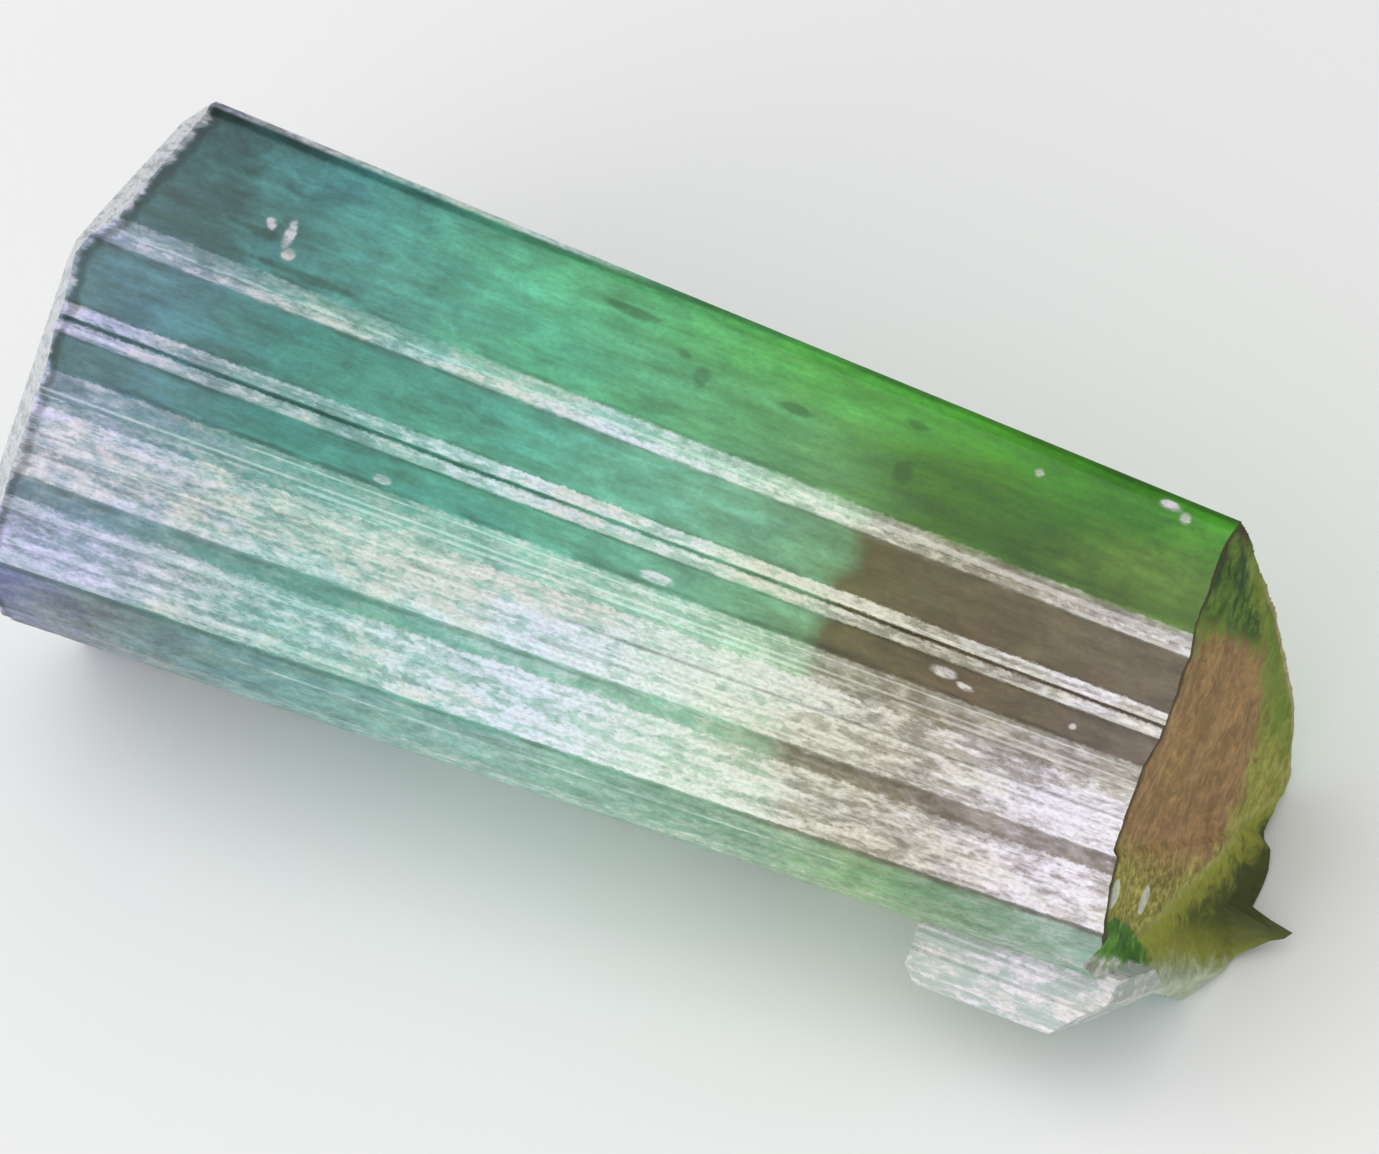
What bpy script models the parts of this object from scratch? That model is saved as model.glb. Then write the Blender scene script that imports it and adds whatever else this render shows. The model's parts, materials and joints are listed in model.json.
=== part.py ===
"""A tourmaline crystal: a tapering, lengthwise striated prism that lies on one of its facets, with a low pointed
left end, a broken right end, and a small side crystal grown on beside the break.

The section is drawn with its crest at +V and its bright side facing +W. The crystal is then turned by LIE about its
length, which is X, so that the foot facet is level. Sizes are in millimetres and angles in degrees.
"""
import math
import random

import bmesh
import bpy
from mathutils import Vector
from mathutils.geometry import delaunay_2d_cdt

METRE = 0.001                   # one millimetre, in metres
LIE = 35.0                      # turn about X that lays the foot facet level

# the prism
LENGTH = 31.8                   # from the flat of the left end to the broken face
LEFT_SCALE = 1.20               # size of the section at the left end; it is 1 at the broken face
STATIONS = 19                   # rings along the prism
OVERRUN = 1.0                   # how far the prism is first drawn past its left end
CREST = (6.0, 0.0)              # (V, W) of the top corner of the section
FLOOR_W = -12.05                # W where the foot facet's plane crosses V = 0: the sections shrink about this point
FLOOR_FACING = 235.0            # the foot facet's outward direction, from +V towards +W

# Facets from the crest down the bright side: outward direction, width, striae on it, depth of a stria.
FRONT = (
    (65, 0.46, 0, 0.0),         # bevel along the crest
    (77, 2.74, 7, 0.016),       # upper band
    (97, 0.19, 0, 0.0),         # upper step
    (117, 0.44, 0, 0.0),
    (63, 0.10, 0, 0.0),
    (76, 1.46, 4, 0.014),       # middle band
    (115, 0.33, 0, 0.0),        # double step, with a groove between
    (61, 0.11, 0, 0.0),
    (115, 0.30, 0, 0.0),
    (63, 0.10, 0, 0.0),
    (76, 0.74, 2, 0.012),       # lower band
    (105, 0.82, 4, 0.02),       # smoother strip below the ridge line
    (110, 1.66, 9, 0.045),      # finely striated
    (85, 0.48, 0, 0.0),         # groove
    (111, 1.54, 8, 0.045),      # finely striated
    (77, 0.12, 0, 0.0),
    (137, 1.14, 3, 0.03),       # lowest band
    (160, 0.52, 1, 0.02),       # rounded lower edge
)
UNDER_FACING = 181.0            # the facet that slopes under, down to the floor
UNDER_STRIAE = (18, 0.05)
# Facets from the crest down the back; the last one ends on the floor.
BACK = (
    (-11, 2.2, 6, 0.04),
    (-22, 5.2, 13, 0.05),
    (-26, 3.2, 8, 0.045),
    (-43, 2.5, 5, 0.04),
)
LAST_BACK_FACING = -93.0
STRIA_SEED = 11
STRIA_LEAN = 0.22               # how far a stria's crest may lie from the middle of its share of the facet
STRIA_RISE = (0.55, 1.25)       # least and greatest height of a stria, in parts of the depth given
STRIA_FROM = (-0.6, 0.5)        # where a stria may start and stop, in parts of LENGTH
STRIA_TO = (0.65, 1.6)
STRIA_FADE = 0.08               # length over which it fades, in parts of LENGTH

# Faces that cut the left end to a low point: direction round the axis, slope from square, where the face's plane
# crosses the axis. The first is the flat of the end, near X = 0.
LEFT_AXIS = (-1.5, -4.0)        # (V, W) of the prism's axis at the left end
LEFT_FACES = (
    (0, 3, 0.0),
    (0, 18, -0.95),
    (0, 42, -5.34),
    (32, 26, -3.10),
    (61, 49, -8.75),
    (100, 27, -2.70),
    (180, 30, -2.00),
    (265, 27, -3.20),
    (315, 20, -1.80),
)

# The break: rise of the broken surface over X = LENGTH. Its creases are lines on the section, as (V, W).
BREAK_GRID = 0.55               # spacing of the points that carry the relief
CREASE_STEP = 0.42              # spacing of the points along a crease
CREASE_GAP = 0.18               # least distance between points of two creases
GRID_GAP = 0.385                # least distance of a grid point from the points before it
RIM_MARGIN = 0.22               # least distance of any of them from the rim's corners
BREAK_LEAN = 0.055              # slope of the whole break, which leaves the bright side a little shorter
BREAK_FAR_W = -11.0             # W at which the leaning break is at LENGTH
RIPPLES = ((0.05, 0.9, 0.35, 0.5), (0.04, -0.6, 1.7, 0.0))     # height, waves along V and W, phase
CORE_FOLD = ((1.4, 1.0), (-0.2, -9.5))          # a shallow fold down the middle of the break
CORE_SLOPE = 0.05
FAR_FACET = ((-0.75, -10.0), (5.20, -4.45))     # past this the break rises to its far rim
FAR_RISE = 0.053
LEDGE = ((-2.63, -1.15), (-1.34, -8.8))         # foot of a small step, and of the slope up to the chunk
LEDGE_TOP = ((-2.85, -1.20), (-1.52, -8.4))
LEDGE_RISE = 0.14
LEDGE_SLOPE = 1.2
CHUNK_SLOPE = 0.08
CHUNK_CREST = ((-4.7, -3.1), (-1.5, -8.5))      # past this the chunk rises faster, to its edge on the floor
CHUNK_EDGE_SLOPE = 0.32
CHUNK_SIDE_FOOT = ((-1.15, -8.9), (-1.15, -11.1))
CHUNK_SIDE_TOP = ((-1.5, -8.5), (-1.65, -10.8))
CHUNK_SIDE_SLOPE = 2.1
CHUNK_SIDE_SINK = 0.1
CHUNK_LOW_SIDE = ((-3.3, 1.35, 0.33), (-5.0, 0.74, 0.55))      # V, the most that it rises there, slope
SPLINTER_TIP = (-3.28, -8.8)
SPLINTER_HEIGHT = 2.27
SPLINTER_BASE = 0.30            # distance of the points round its tip
SPLINTER_SLOPES = (1.08, 5.0, 2.2)              # to lower V, to higher V, along W
RIM_NOTCH = (-0.9, -11.9)       # between the far rim and the chunk
RIM_NOTCH_DEPTH = 0.6
RIM_NOTCH_SLOPE = 0.72
CORNER_CHIP = (-5.9, -1.2)      # a chip in the lower corner of the bright side
CORNER_CHIP_DEPTH = 0.9
CORNER_CHIP_SLOPE = 0.45
LONG_CHIP = ((3.30, -2.2), (5.8, 0.5))          # edge of the long chip beside the crest
LONG_CHIP_END = ((3.30, -2.2), (3.25, 0.5))
LONG_CHIP_DEPTH = 0.5
LONG_CHIP_SLOPE = 0.14

# Small shell-shaped chips in the edges: (X, V, W), radius.
CHIPS = (
    ((1.55, 5.35, 3.15), 0.40),
    ((1.10, 3.25, 3.75), 0.50),
    ((0.95, 2.80, 3.85), 0.34),
    ((0.62, 0.72, 4.20), 0.42),
    ((0.70, -3.10, 2.95), 0.38),
    ((29.6, 6.22, 0.42), 0.36),
    ((30.3, 6.18, 0.36), 0.26),
    ((31.75, 1.20, 1.30), 0.34),
    ((31.85, -1.30, 1.25), 0.30),
    ((14.2, 6.66, 1.50), 0.30),
    ((9.0, -6.9, -1.3), 0.34),
    ((21.5, -6.5, -1.9), 0.28),
)

# The side crystal: a six-sided prism along X, sunk part way into the facet that slopes under.
SIDE_CENTRE = (-6.60, -3.15)
SIDE_RADIUS = 1.25
SIDE_CORNER = 117.0             # direction of one of its corners
SIDE_START = LENGTH - 5.65
SIDE_END = LENGTH + 0.9
SIDE_START_FACES = ((170, 38, SIDE_START - 0.72), (100, 20, SIDE_START - 0.30))
SIDE_END_FACES = ((185, 47, SIDE_END - 1.2), (110, 22, SIDE_END - 0.7))

GREEN = (0.15, 0.34, 0.19, 1.0)


def clear_scene():
    for old in list(bpy.data.objects):
        bpy.data.objects.remove(old, do_unlink=True)


def crystal_material():
    material = bpy.data.materials.new("green_tourmaline")
    material.use_nodes = True
    shader = material.node_tree.nodes["Principled BSDF"]
    shader.inputs["Base Color"].default_value = GREEN
    shader.inputs["Metallic"].default_value = 0.0
    shader.inputs["Roughness"].default_value = 0.15
    shader.inputs["IOR"].default_value = 1.63
    shader.inputs["Transmission Weight"].default_value = 0.7
    return material


def direction(degrees):
    angle = math.radians(degrees)
    return Vector((math.cos(angle), math.sin(angle)))


def to_world(x, v, w):
    """A point of the drawing in the lying crystal's own axes, with the foot facet's plane at Z = 0."""
    turn = math.radians(LIE)
    y = v * math.cos(turn) - w * math.sin(turn)
    z = v * math.sin(turn) + w * math.cos(turn) - FLOOR_W * math.cos(turn)
    return Vector((x, y, z))


def floor_height(point):
    """How far a point of the section is above the foot facet's plane."""
    return -(point - Vector((0.0, FLOOR_W))).dot(direction(FLOOR_FACING))


# ---- the section ------------------------------------------------------------------------------------------------

def striate(start, end, facing, count, depth, source):
    """Points along one facet after its first: the striae stand out from it, each with its own reach along X."""
    points = []
    outward = direction(facing)
    for number in range(count):
        crest_at = (number + 0.5 + source.uniform(-STRIA_LEAN, STRIA_LEAN)) / count
        rise = depth * source.uniform(*STRIA_RISE)
        reach = (source.uniform(*STRIA_FROM), source.uniform(*STRIA_TO))
        points.append((start.lerp(end, crest_at), outward * rise, reach))
        if number < count - 1:
            points.append((start.lerp(end, (number + 1) / count), Vector((0.0, 0.0)), reach))
    points.append((end, Vector((0.0, 0.0)), (0.0, 1.0)))
    return points


def walk(start, facets, side, source):
    """Follows facets from a corner, anticlockwise with side 1 and clockwise with side -1."""
    points = []
    for facing, width, count, depth in facets:
        end = start + direction(facing + 90 * side) * width
        points += striate(start, end, facing, count, depth, source)
        start = end
    return points


def down_to_floor(start, facing, side):
    """The width at which a facet from this corner meets the floor."""
    along = direction(facing + 90 * side)
    return floor_height(start) / -(floor_height(start + along) - floor_height(start))


def section():
    """The closed outline at the broken end, anticlockwise from the crest: (point, stria, reach of the stria)."""
    source = random.Random(STRIA_SEED)
    crest = Vector(CREST)
    front = walk(crest, FRONT, 1, source)
    toe = front[-1][0]
    under = down_to_floor(toe, UNDER_FACING, 1)
    front += walk(toe, ((UNDER_FACING, under) + UNDER_STRIAE,), 1, source)
    back = walk(crest, BACK, -1, source)
    heel = back[-1][0]
    last = down_to_floor(heel, LAST_BACK_FACING, -1)
    back += walk(heel, ((LAST_BACK_FACING, last, 0, 0.0),), -1, source)
    return front + back[::-1] + [(crest, Vector((0.0, 0.0)), (0.0, 1.0))]


def stria_strength(share, reach):
    """How far a stria stands out, at a share of the way along the crystal: some start or stop part way."""
    rise = min(1.0, max(0.0, (share - reach[0]) / STRIA_FADE))
    fall = min(1.0, max(0.0, (reach[1] - share) / STRIA_FADE))
    return rise * fall


def outline_point(x, base, stria, reach):
    """One point of the outline at X, where the section is scaled about a point of the floor."""
    share = x / LENGTH
    scale = LEFT_SCALE + (1.0 - LEFT_SCALE) * share
    fixed = Vector((0.0, FLOOR_W))
    return fixed + (base + stria * stria_strength(share, reach) - fixed) * scale


def ring(x, outline):
    return [outline_point(x, *corner) for corner in outline]


# ---- the broken face --------------------------------------------------------------------------------------------

def beyond(point, line):
    """Distance of a point to the right of a line, seen along it."""
    start, end = Vector(line[0]), Vector(line[1])
    along = (end - start).normalized()
    offset = point - start
    return offset.x * along.y - offset.y * along.x


def break_height(point):
    """Rise of the broken surface over X = LENGTH."""
    v, w = point
    rise = -BREAK_LEAN * (w - BREAK_FAR_W)
    for height, waves_v, waves_w, phase in RIPPLES:
        rise += height * math.sin(waves_v * v + waves_w * w + phase)
    rise += FAR_RISE * max(0.0, beyond(point, FAR_FACET)) - CORE_SLOPE * abs(beyond(point, CORE_FOLD))
    past_ledge = beyond(point, LEDGE)
    if past_ledge > 0.0:
        rise = max(rise, chunk_height(point, rise, past_ledge))
    rise = max(rise, splinter_height(v, w))
    corner = (point - Vector(CORNER_CHIP)).length
    rise = min(rise, CORNER_CHIP_SLOPE * corner - CORNER_CHIP_DEPTH)
    notch = (point - Vector(RIM_NOTCH)).length
    rise = min(rise, RIM_NOTCH_SLOPE * notch - RIM_NOTCH_DEPTH)
    if beyond(point, LONG_CHIP_END) > 0.0:
        rise = min(rise, LONG_CHIP_SLOPE * beyond(point, LONG_CHIP) - LONG_CHIP_DEPTH)
    return rise


def chunk_height(point, rise, past_ledge):
    """The slope from the ledge to the chunk, and the chunk, which stands out most along the floor."""
    slope = rise + min(LEDGE_SLOPE * past_ledge, LEDGE_RISE) + CHUNK_SLOPE * past_ledge
    slope += CHUNK_EDGE_SLOPE * max(0.0, beyond(point, CHUNK_CREST))
    side = CHUNK_SIDE_SLOPE * beyond(point, CHUNK_SIDE_FOOT) - CHUNK_SIDE_SINK
    low_sides = [most + fall * (point.x - from_v) for from_v, most, fall in CHUNK_LOW_SIDE]
    return min(slope, side, *low_sides)


def splinter_height(v, w):
    to_low, to_high, along = SPLINTER_SLOPES
    tip_v, tip_w = SPLINTER_TIP
    flank = to_low * (tip_v - v) if v < tip_v else to_high * (v - tip_v)
    return SPLINTER_HEIGHT - flank - along * abs(w - tip_w)


def along_line(line, step):
    start, end = Vector(line[0]), Vector(line[1])
    count = max(1, round((end - start).length / step))
    return [start.lerp(end, index / count) for index in range(count + 1)]


def break_points(outline):
    """Points inside the broken face that carry its relief: along its creases, and between them a staggered grid."""
    tip = Vector(SPLINTER_TIP)
    points = [tip] + [tip + direction(60 * turn) * SPLINTER_BASE for turn in range(6)]
    creases = (CHUNK_CREST, LEDGE, LEDGE_TOP, CHUNK_SIDE_FOOT, CHUNK_SIDE_TOP, LONG_CHIP, LONG_CHIP_END)
    for line in creases + (FAR_FACET, CORE_FOLD):
        points += [p for p in along_line(line, CREASE_STEP) if inside(p, outline) and apart(p, points, CREASE_GAP)]
    low_v, high_v = min(p.x for p in outline), max(p.x for p in outline)
    low_w, high_w = min(p.y for p in outline), max(p.y for p in outline)
    spread = BREAK_GRID * math.sqrt(3.0) / 2.0
    for row in range(int((high_w - low_w) / spread) + 1):
        for column in range(int((high_v - low_v) / BREAK_GRID) + 1):
            point = Vector((low_v + (column + 0.5 * (row % 2)) * BREAK_GRID, low_w + row * spread))
            if inside(point, outline) and apart(point, points, GRID_GAP):
                points.append(point)
    return points


def apart(point, others, distance):
    return all((point - other).length > distance for other in others)


def inside(point, outline):
    """Whether a point lies inside the outline, clear of its corners."""
    crossings = 0
    for here, there in zip(outline, outline[1:] + outline[:1]):
        if min((here - point).length, ((here + there) / 2 - point).length) < RIM_MARGIN:
            return False
        if (here.y > point.y) != (there.y > point.y):
            cross_v = here.x + (there.x - here.x) * (point.y - here.y) / (there.y - here.y)
            crossings += cross_v > point.x
    return crossings % 2 == 1


# ---- solids -----------------------------------------------------------------------------------------------------

def prism_mesh(outline):
    """The loft of the prism, with the broken face closed by its relief and a plain cap past the left end."""
    mesh = bmesh.new()
    rings = []
    for station in range(STATIONS - 1):
        x = -OVERRUN + (LENGTH + OVERRUN) * station / (STATIONS - 1)
        rings.append([mesh.verts.new(to_world(x, p.x, p.y)) for p in ring(x, outline)])
    rings.append(break_rim(mesh, outline))
    for near, far in zip(rings, rings[1:]):
        for here in range(len(near)):
            there = (here + 1) % len(near)
            mesh.faces.new((near[here], near[there], far[there], far[here]))
    mesh.faces.new(rings[0][::-1])
    close_break(mesh, rings[-1], ring(LENGTH, outline))
    return mesh


def break_rim(mesh, outline):
    """The ring where the prism's faces meet the break: each corner runs on along its face by the break's rise."""
    corners = []
    for corner in outline:
        x = LENGTH + break_height(outline_point(LENGTH, *corner))
        point = outline_point(x, *corner)
        corners.append(mesh.verts.new(to_world(x, point.x, point.y)))
    return corners


def close_break(mesh, edge, outline):
    inner = break_points(outline)
    count = len(outline)
    border = [(here, (here + 1) % count) for here in range(count)]
    points, _, faces, sources, _, _ = delaunay_2d_cdt(outline + inner, border, [], 1, 1e-6)
    corners = []
    for point, source in zip(points, sources):
        if source and source[0] < count:
            corners.append(edge[source[0]])
        else:
            corners.append(mesh.verts.new(to_world(LENGTH + break_height(point), point.x, point.y)))
    for face in faces:
        mesh.faces.new([corners[index] for index in face])


def cut(mesh, place, normal):
    """Takes away what lies beyond a plane and closes the solid with a flat face."""
    everything = mesh.verts[:] + mesh.edges[:] + mesh.faces[:]
    bmesh.ops.bisect_plane(mesh, geom=everything, dist=1e-5, plane_co=place, plane_no=normal, clear_outer=True)
    rim = [edge for edge in mesh.edges if edge.is_boundary]
    if rim:
        bmesh.ops.contextual_create(mesh, geom=rim)


def end_cut(mesh, facing, slope, crossing, axis, outward):
    """Cuts an end with a face whose plane crosses the axis at X = crossing. outward is -1 at a left end."""
    side = direction(facing)
    tilt = math.radians(slope)
    place = to_world(crossing, *axis)
    foot = to_world(0.0, 0.0, 0.0)
    across = to_world(0.0, side.x, side.y) - foot
    cut(mesh, place, Vector((outward * math.cos(tilt), 0.0, 0.0)) + across * math.sin(tilt))


def main_crystal(material):
    mesh = prism_mesh(section())
    for facing, slope, crossing in LEFT_FACES:
        end_cut(mesh, facing, slope, crossing, LEFT_AXIS, -1)
    return finish(mesh, "tourmaline_crystal", material)


def side_crystal(material):
    mesh = bmesh.new()
    rings = []
    for x in (SIDE_START, SIDE_END):
        corners = [Vector(SIDE_CENTRE) + direction(SIDE_CORNER + 60 * k) * SIDE_RADIUS for k in range(6)]
        rings.append([mesh.verts.new(to_world(x, c.x, c.y)) for c in corners])
    for here in range(6):
        there = (here + 1) % 6
        mesh.faces.new((rings[0][here], rings[0][there], rings[1][there], rings[1][here]))
    mesh.faces.new(rings[0][::-1])
    mesh.faces.new(rings[1])
    for facing, slope, crossing in SIDE_START_FACES:
        end_cut(mesh, facing, slope, crossing, SIDE_CENTRE, -1)
    for facing, slope, crossing in SIDE_END_FACES:
        end_cut(mesh, facing, slope, crossing, SIDE_CENTRE, 1)
    return finish(mesh, "side_crystal", material)


def finish(mesh, name, material):
    bmesh.ops.recalc_face_normals(mesh, faces=mesh.faces[:])
    data = bpy.data.meshes.new(name)
    mesh.to_mesh(data)
    mesh.free()
    data.materials.append(material)
    piece = bpy.data.objects.new(name, data)
    bpy.context.collection.objects.link(piece)
    return piece


def chip_cutters(material):
    """One shell-shaped cutter for each chip, as separate closed lumps of one mesh."""
    mesh = bmesh.new()
    for place, radius in CHIPS:
        lump = bmesh.ops.create_icosphere(mesh, subdivisions=1, radius=radius)["verts"]
        bmesh.ops.translate(mesh, verts=lump, vec=to_world(*place))
    return finish(mesh, "chip_cutters", material)


def combine(crystal, other, operation):
    """A Boolean of the crystal with another solid, which stays as a hidden guide."""
    other.hide_render = True
    other.display_type = "WIRE"
    boolean = crystal.modifiers.new(other.name, "BOOLEAN")
    boolean.operation = operation
    boolean.solver = "EXACT"
    boolean.object = other


def centre(solids, cutters):
    """Puts the origin at the middle of the base of the solids, and turns millimetres into metres."""
    points = [vertex.co for solid in solids for vertex in solid.data.vertices]
    low = Vector([min(p[axis] for p in points) for axis in range(3)])
    high = Vector([max(p[axis] for p in points) for axis in range(3)])
    middle = Vector(((low.x + high.x) / 2, (low.y + high.y) / 2, low.z))
    for piece in solids + cutters:
        for vertex in piece.data.vertices:
            vertex.co = (vertex.co - middle) * METRE


def main():
    clear_scene()
    material = crystal_material()
    crystal = main_crystal(material)
    grown = side_crystal(material)
    chips = chip_cutters(material)
    centre((crystal, grown), (chips,))
    combine(crystal, grown, "UNION")
    combine(crystal, chips, "DIFFERENCE")


main()
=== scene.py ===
"""A tourmaline crystal on a pale table: a clear, lengthwise striated prism that tapers to the right.

It has zones of colour, frosted steps, a low cut left end, a broken right end and a small colourless side
crystal. The section is drawn with its crest at +V and its bright side facing +W, in millimetres. The crystal
is turned by LIE about its length, which is X, so that its foot facet is level.
"""
import json
import math
import random

import bmesh
import bpy
import numpy as np
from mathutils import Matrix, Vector, noise
from mathutils.geometry import delaunay_2d_cdt

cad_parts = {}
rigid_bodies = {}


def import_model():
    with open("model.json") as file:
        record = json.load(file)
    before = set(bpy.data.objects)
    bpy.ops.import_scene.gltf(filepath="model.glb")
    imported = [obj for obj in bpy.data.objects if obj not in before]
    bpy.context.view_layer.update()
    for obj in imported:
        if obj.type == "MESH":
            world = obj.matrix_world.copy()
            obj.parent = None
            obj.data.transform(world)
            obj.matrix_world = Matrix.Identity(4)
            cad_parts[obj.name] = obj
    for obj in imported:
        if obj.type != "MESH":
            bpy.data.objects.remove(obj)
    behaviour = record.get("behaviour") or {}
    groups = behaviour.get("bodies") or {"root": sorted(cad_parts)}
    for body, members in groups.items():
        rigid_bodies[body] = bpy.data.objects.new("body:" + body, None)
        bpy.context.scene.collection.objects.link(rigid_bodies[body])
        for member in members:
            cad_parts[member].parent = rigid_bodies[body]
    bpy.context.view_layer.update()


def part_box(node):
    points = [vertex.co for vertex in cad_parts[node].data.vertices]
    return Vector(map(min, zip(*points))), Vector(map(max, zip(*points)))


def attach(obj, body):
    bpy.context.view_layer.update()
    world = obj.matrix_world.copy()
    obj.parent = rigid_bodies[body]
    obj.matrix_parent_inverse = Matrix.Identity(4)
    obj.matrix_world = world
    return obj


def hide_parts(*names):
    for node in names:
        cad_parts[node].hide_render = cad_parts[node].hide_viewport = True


MILLIMETRE = 0.001              # in metres
FAR = 1e9
WELD = 1e-5                     # corners nearer to each other than this are one corner
LIE = math.radians(35.0)

# the prism
LENGTH = 31.8
LEFT_SCALE = 1.20               # size of the section at the left end; it is 1 at the broken face
STATIONS = 112
OVERRUN = 1.0                   # the prism starts this far before X = 0, and the left end is cut from it
CREST = (6.0, 0.0)
FLOOR_W = -12.05                # W of the fixed point on the floor that the sections shrink about
FLOOR_FACING = 235.0
STRIA_FADE = 0.06
ARC_JUMP = 5.0                  # a step of arc over this is where the two ways round from the crest meet

# Facets from the crest down the bright side: direction, width, striae on it, depth of a stria, frost.
FRONT = (
    (65, 0.46, 2, 0.008, 0.0),
    (77, 2.74, 12, 0.005, 0.0),
    (97, 0.19, 2, 0.010, 0.40),
    (117, 0.22, 2, 0.014, 0.50),
    (117, 0.22, 2, 0.018, 1.02),
    (63, 0.10, 0, 0.0, 0.15),
    (76, 1.46, 7, 0.005, 0.0),
    (115, 0.33, 3, 0.018, 0.90),
    (61, 0.11, 0, 0.0, 0.0),
    (115, 0.30, 3, 0.018, 0.92),
    (63, 0.10, 0, 0.0, 0.0),
    (76, 0.74, 4, 0.005, 0.0),
    (105, 0.82, 5, 0.010, 0.42),
    (110, 1.66, 11, 0.034, 1.10),
    (85, 0.48, 2, 0.006, 0.30),
    (111, 1.54, 10, 0.034, 0.95),
    (77, 0.12, 0, 0.0, 0.15),
    (137, 1.14, 6, 0.022, 0.20),
    (160, 0.52, 3, 0.016, 0.34),
)
SPLIT_ARC = 7.4                 # in the middle of the facet between the steps and the frosty belts below them
UNDER_FACING = 181.0
UNDER_FINISH = (24, 0.045, 0.15)
BACK = (
    (-11, 2.2, 9, 0.035, 0.08),
    (-22, 5.2, 21, 0.045, 0.05),
    (-26, 3.2, 13, 0.040, 0.10),
    (-43, 2.5, 9, 0.035, 0.08),
)
LAST_BACK_FACING = -93.0
FOOT_FROST = 0.2

# Each stria lies a little off the middle of its strip, and is drawn over only a part of the prism's length.
STRIA_SEED = 11
STRIA_LEAN = 0.22               # share of the strip
STRIA_HEIGHTS = (0.45, 1.3)     # share of the facet's depth of a stria
STRIA_STARTS = (-0.6, 0.5)      # share of the length
STRIA_ENDS = (0.65, 1.6)
STRIA_WANDER = {"Wander": 0.45, "Wander Length": 3.5, "Seed": 3.0}

# Faces that cut the left end: direction round the axis, slope from square, where the plane crosses the axis.
LEFT_AXIS = (-1.5, -4.0)
LEFT_FACES = (
    (0, 3, 0.0),
    (0, 18, -0.95),
    (0, 42, -5.34),
    (32, 26, -3.10),
    (61, 49, -8.75),
    (100, 27, -2.70),
    (180, 30, -2.00),
    (265, 27, -3.20),
    (315, 20, -1.80),
)

# The break: rise of the broken surface over X = LENGTH. Its creases are lines on the section, as (V, W).
BREAK_GRID = 0.17
CREASE_STEP = 0.15
CREASE_GAP = 0.09
GRID_GAP = 0.62 * BREAK_GRID
RIM_MARGIN = 0.07
BREAK_LEAN = 0.055
BREAK_FAR_W = -11.0
RIPPLES = ((0.05, 0.9, 0.35, 0.5), (0.04, -0.6, 1.7, 0.0))
CORE_FOLD = ((1.4, 1.0), (-0.2, -9.5))
CORE_SLOPE = 0.05
FAR_FACET = ((-0.75, -10.0), (5.20, -4.45))
FAR_RISE = 0.053
LEDGE = ((-2.63, -1.15), (-1.34, -8.8))
LEDGE_TOP = ((-2.85, -1.20), (-1.52, -8.4))
LEDGE_RISE = 0.14
LEDGE_SLOPE = 1.2
CHUNK_SLOPE = 0.08
CHUNK_CREST = ((-4.7, -3.1), (-1.5, -8.5))
CHUNK_EDGE_SLOPE = 0.32
CHUNK_SIDE_FOOT = ((-1.15, -8.9), (-1.15, -11.1))
CHUNK_SIDE_TOP = ((-1.5, -8.5), (-1.65, -10.8))
CHUNK_SIDE_SLOPE = 2.1
CHUNK_SIDE_SINK = 0.1
CHUNK_LOW_SIDE = ((-3.3, 1.35, 0.33), (-5.0, 0.74, 0.55))
SPLINTER_TIP = (-3.28, -8.8)
SPLINTER_HEIGHT = 2.27
SPLINTER_BASE = 0.22
SPLINTER_SLOPES = (1.08, 5.0, 2.2)
RIM_NOTCH = (-0.9, -11.9)
RIM_NOTCH_DEPTH = 0.6
RIM_NOTCH_SLOPE = 0.72
CORNER_CHIP = (-5.9, -1.2)
CORNER_CHIP_DEPTH = 0.9
CORNER_CHIP_SLOPE = 0.45
LONG_CHIP = ((3.30, -2.2), (5.8, 0.5))
LONG_CHIP_END = ((3.30, -2.2), (3.25, 0.5))
LONG_CHIP_DEPTH = 0.5
LONG_CHIP_SLOPE = 0.14
SHELL_CENTRE = (-4.9, -2.6)     # where the blow fell that the shell-like ripples of the break spread from
SHELL_RIPPLE = (0.004, 5.5)     # height, waves
SHELL_WAVER = (1.3, 0.8)        # how far the ripples stray from rings, waves across the crest's direction
HACKLE = ((0.050, 1.1), (0.030, 2.6), (0.016, 5.5))     # height, how often in a millimetre
HACKLE_SINK = 0.3               # share of the height

# Shell-shaped chips in the edges: (X, V, W), radius.
CHIPS = (
    ((1.55, 5.35, 3.15), 0.40),
    ((1.10, 3.25, 3.75), 0.50),
    ((0.95, 2.80, 3.85), 0.34),
    ((0.62, 0.72, 4.20), 0.42),
    ((0.70, -3.10, 2.95), 0.38),
    ((29.6, 6.22, 0.42), 0.36),
    ((30.3, 6.18, 0.36), 0.26),
    ((31.75, 1.20, 1.30), 0.34),
    ((31.85, -1.30, 1.25), 0.30),
    ((14.2, 6.66, 1.50), 0.30),
    ((9.0, -6.9, -1.3), 0.34),
    ((21.5, -6.5, -1.9), 0.28),
)
CHIP_SHAPE = {"Detail": 3, "Lumps": 0.3, "Lump Size": 0.35, "Seed": 4}

# The side crystal.
SIDE_CENTRE = (-6.60, -3.15)
SIDE_RADIUS = 1.25
SIDE_CORNER = 117.0
SIDE_START = LENGTH - 5.65
SIDE_END = LENGTH + 0.9
SIDE_START_FACES = ((170, 38, SIDE_START - 0.72), (100, 20, SIDE_START - 0.30))
SIDE_END_FACES = ((185, 47, SIDE_END - 1.2), (110, 22, SIDE_END - 0.7))
SIDE_FINISH = (5, 0.025, 0.75)
SIDE_STATIONS = 26

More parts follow.
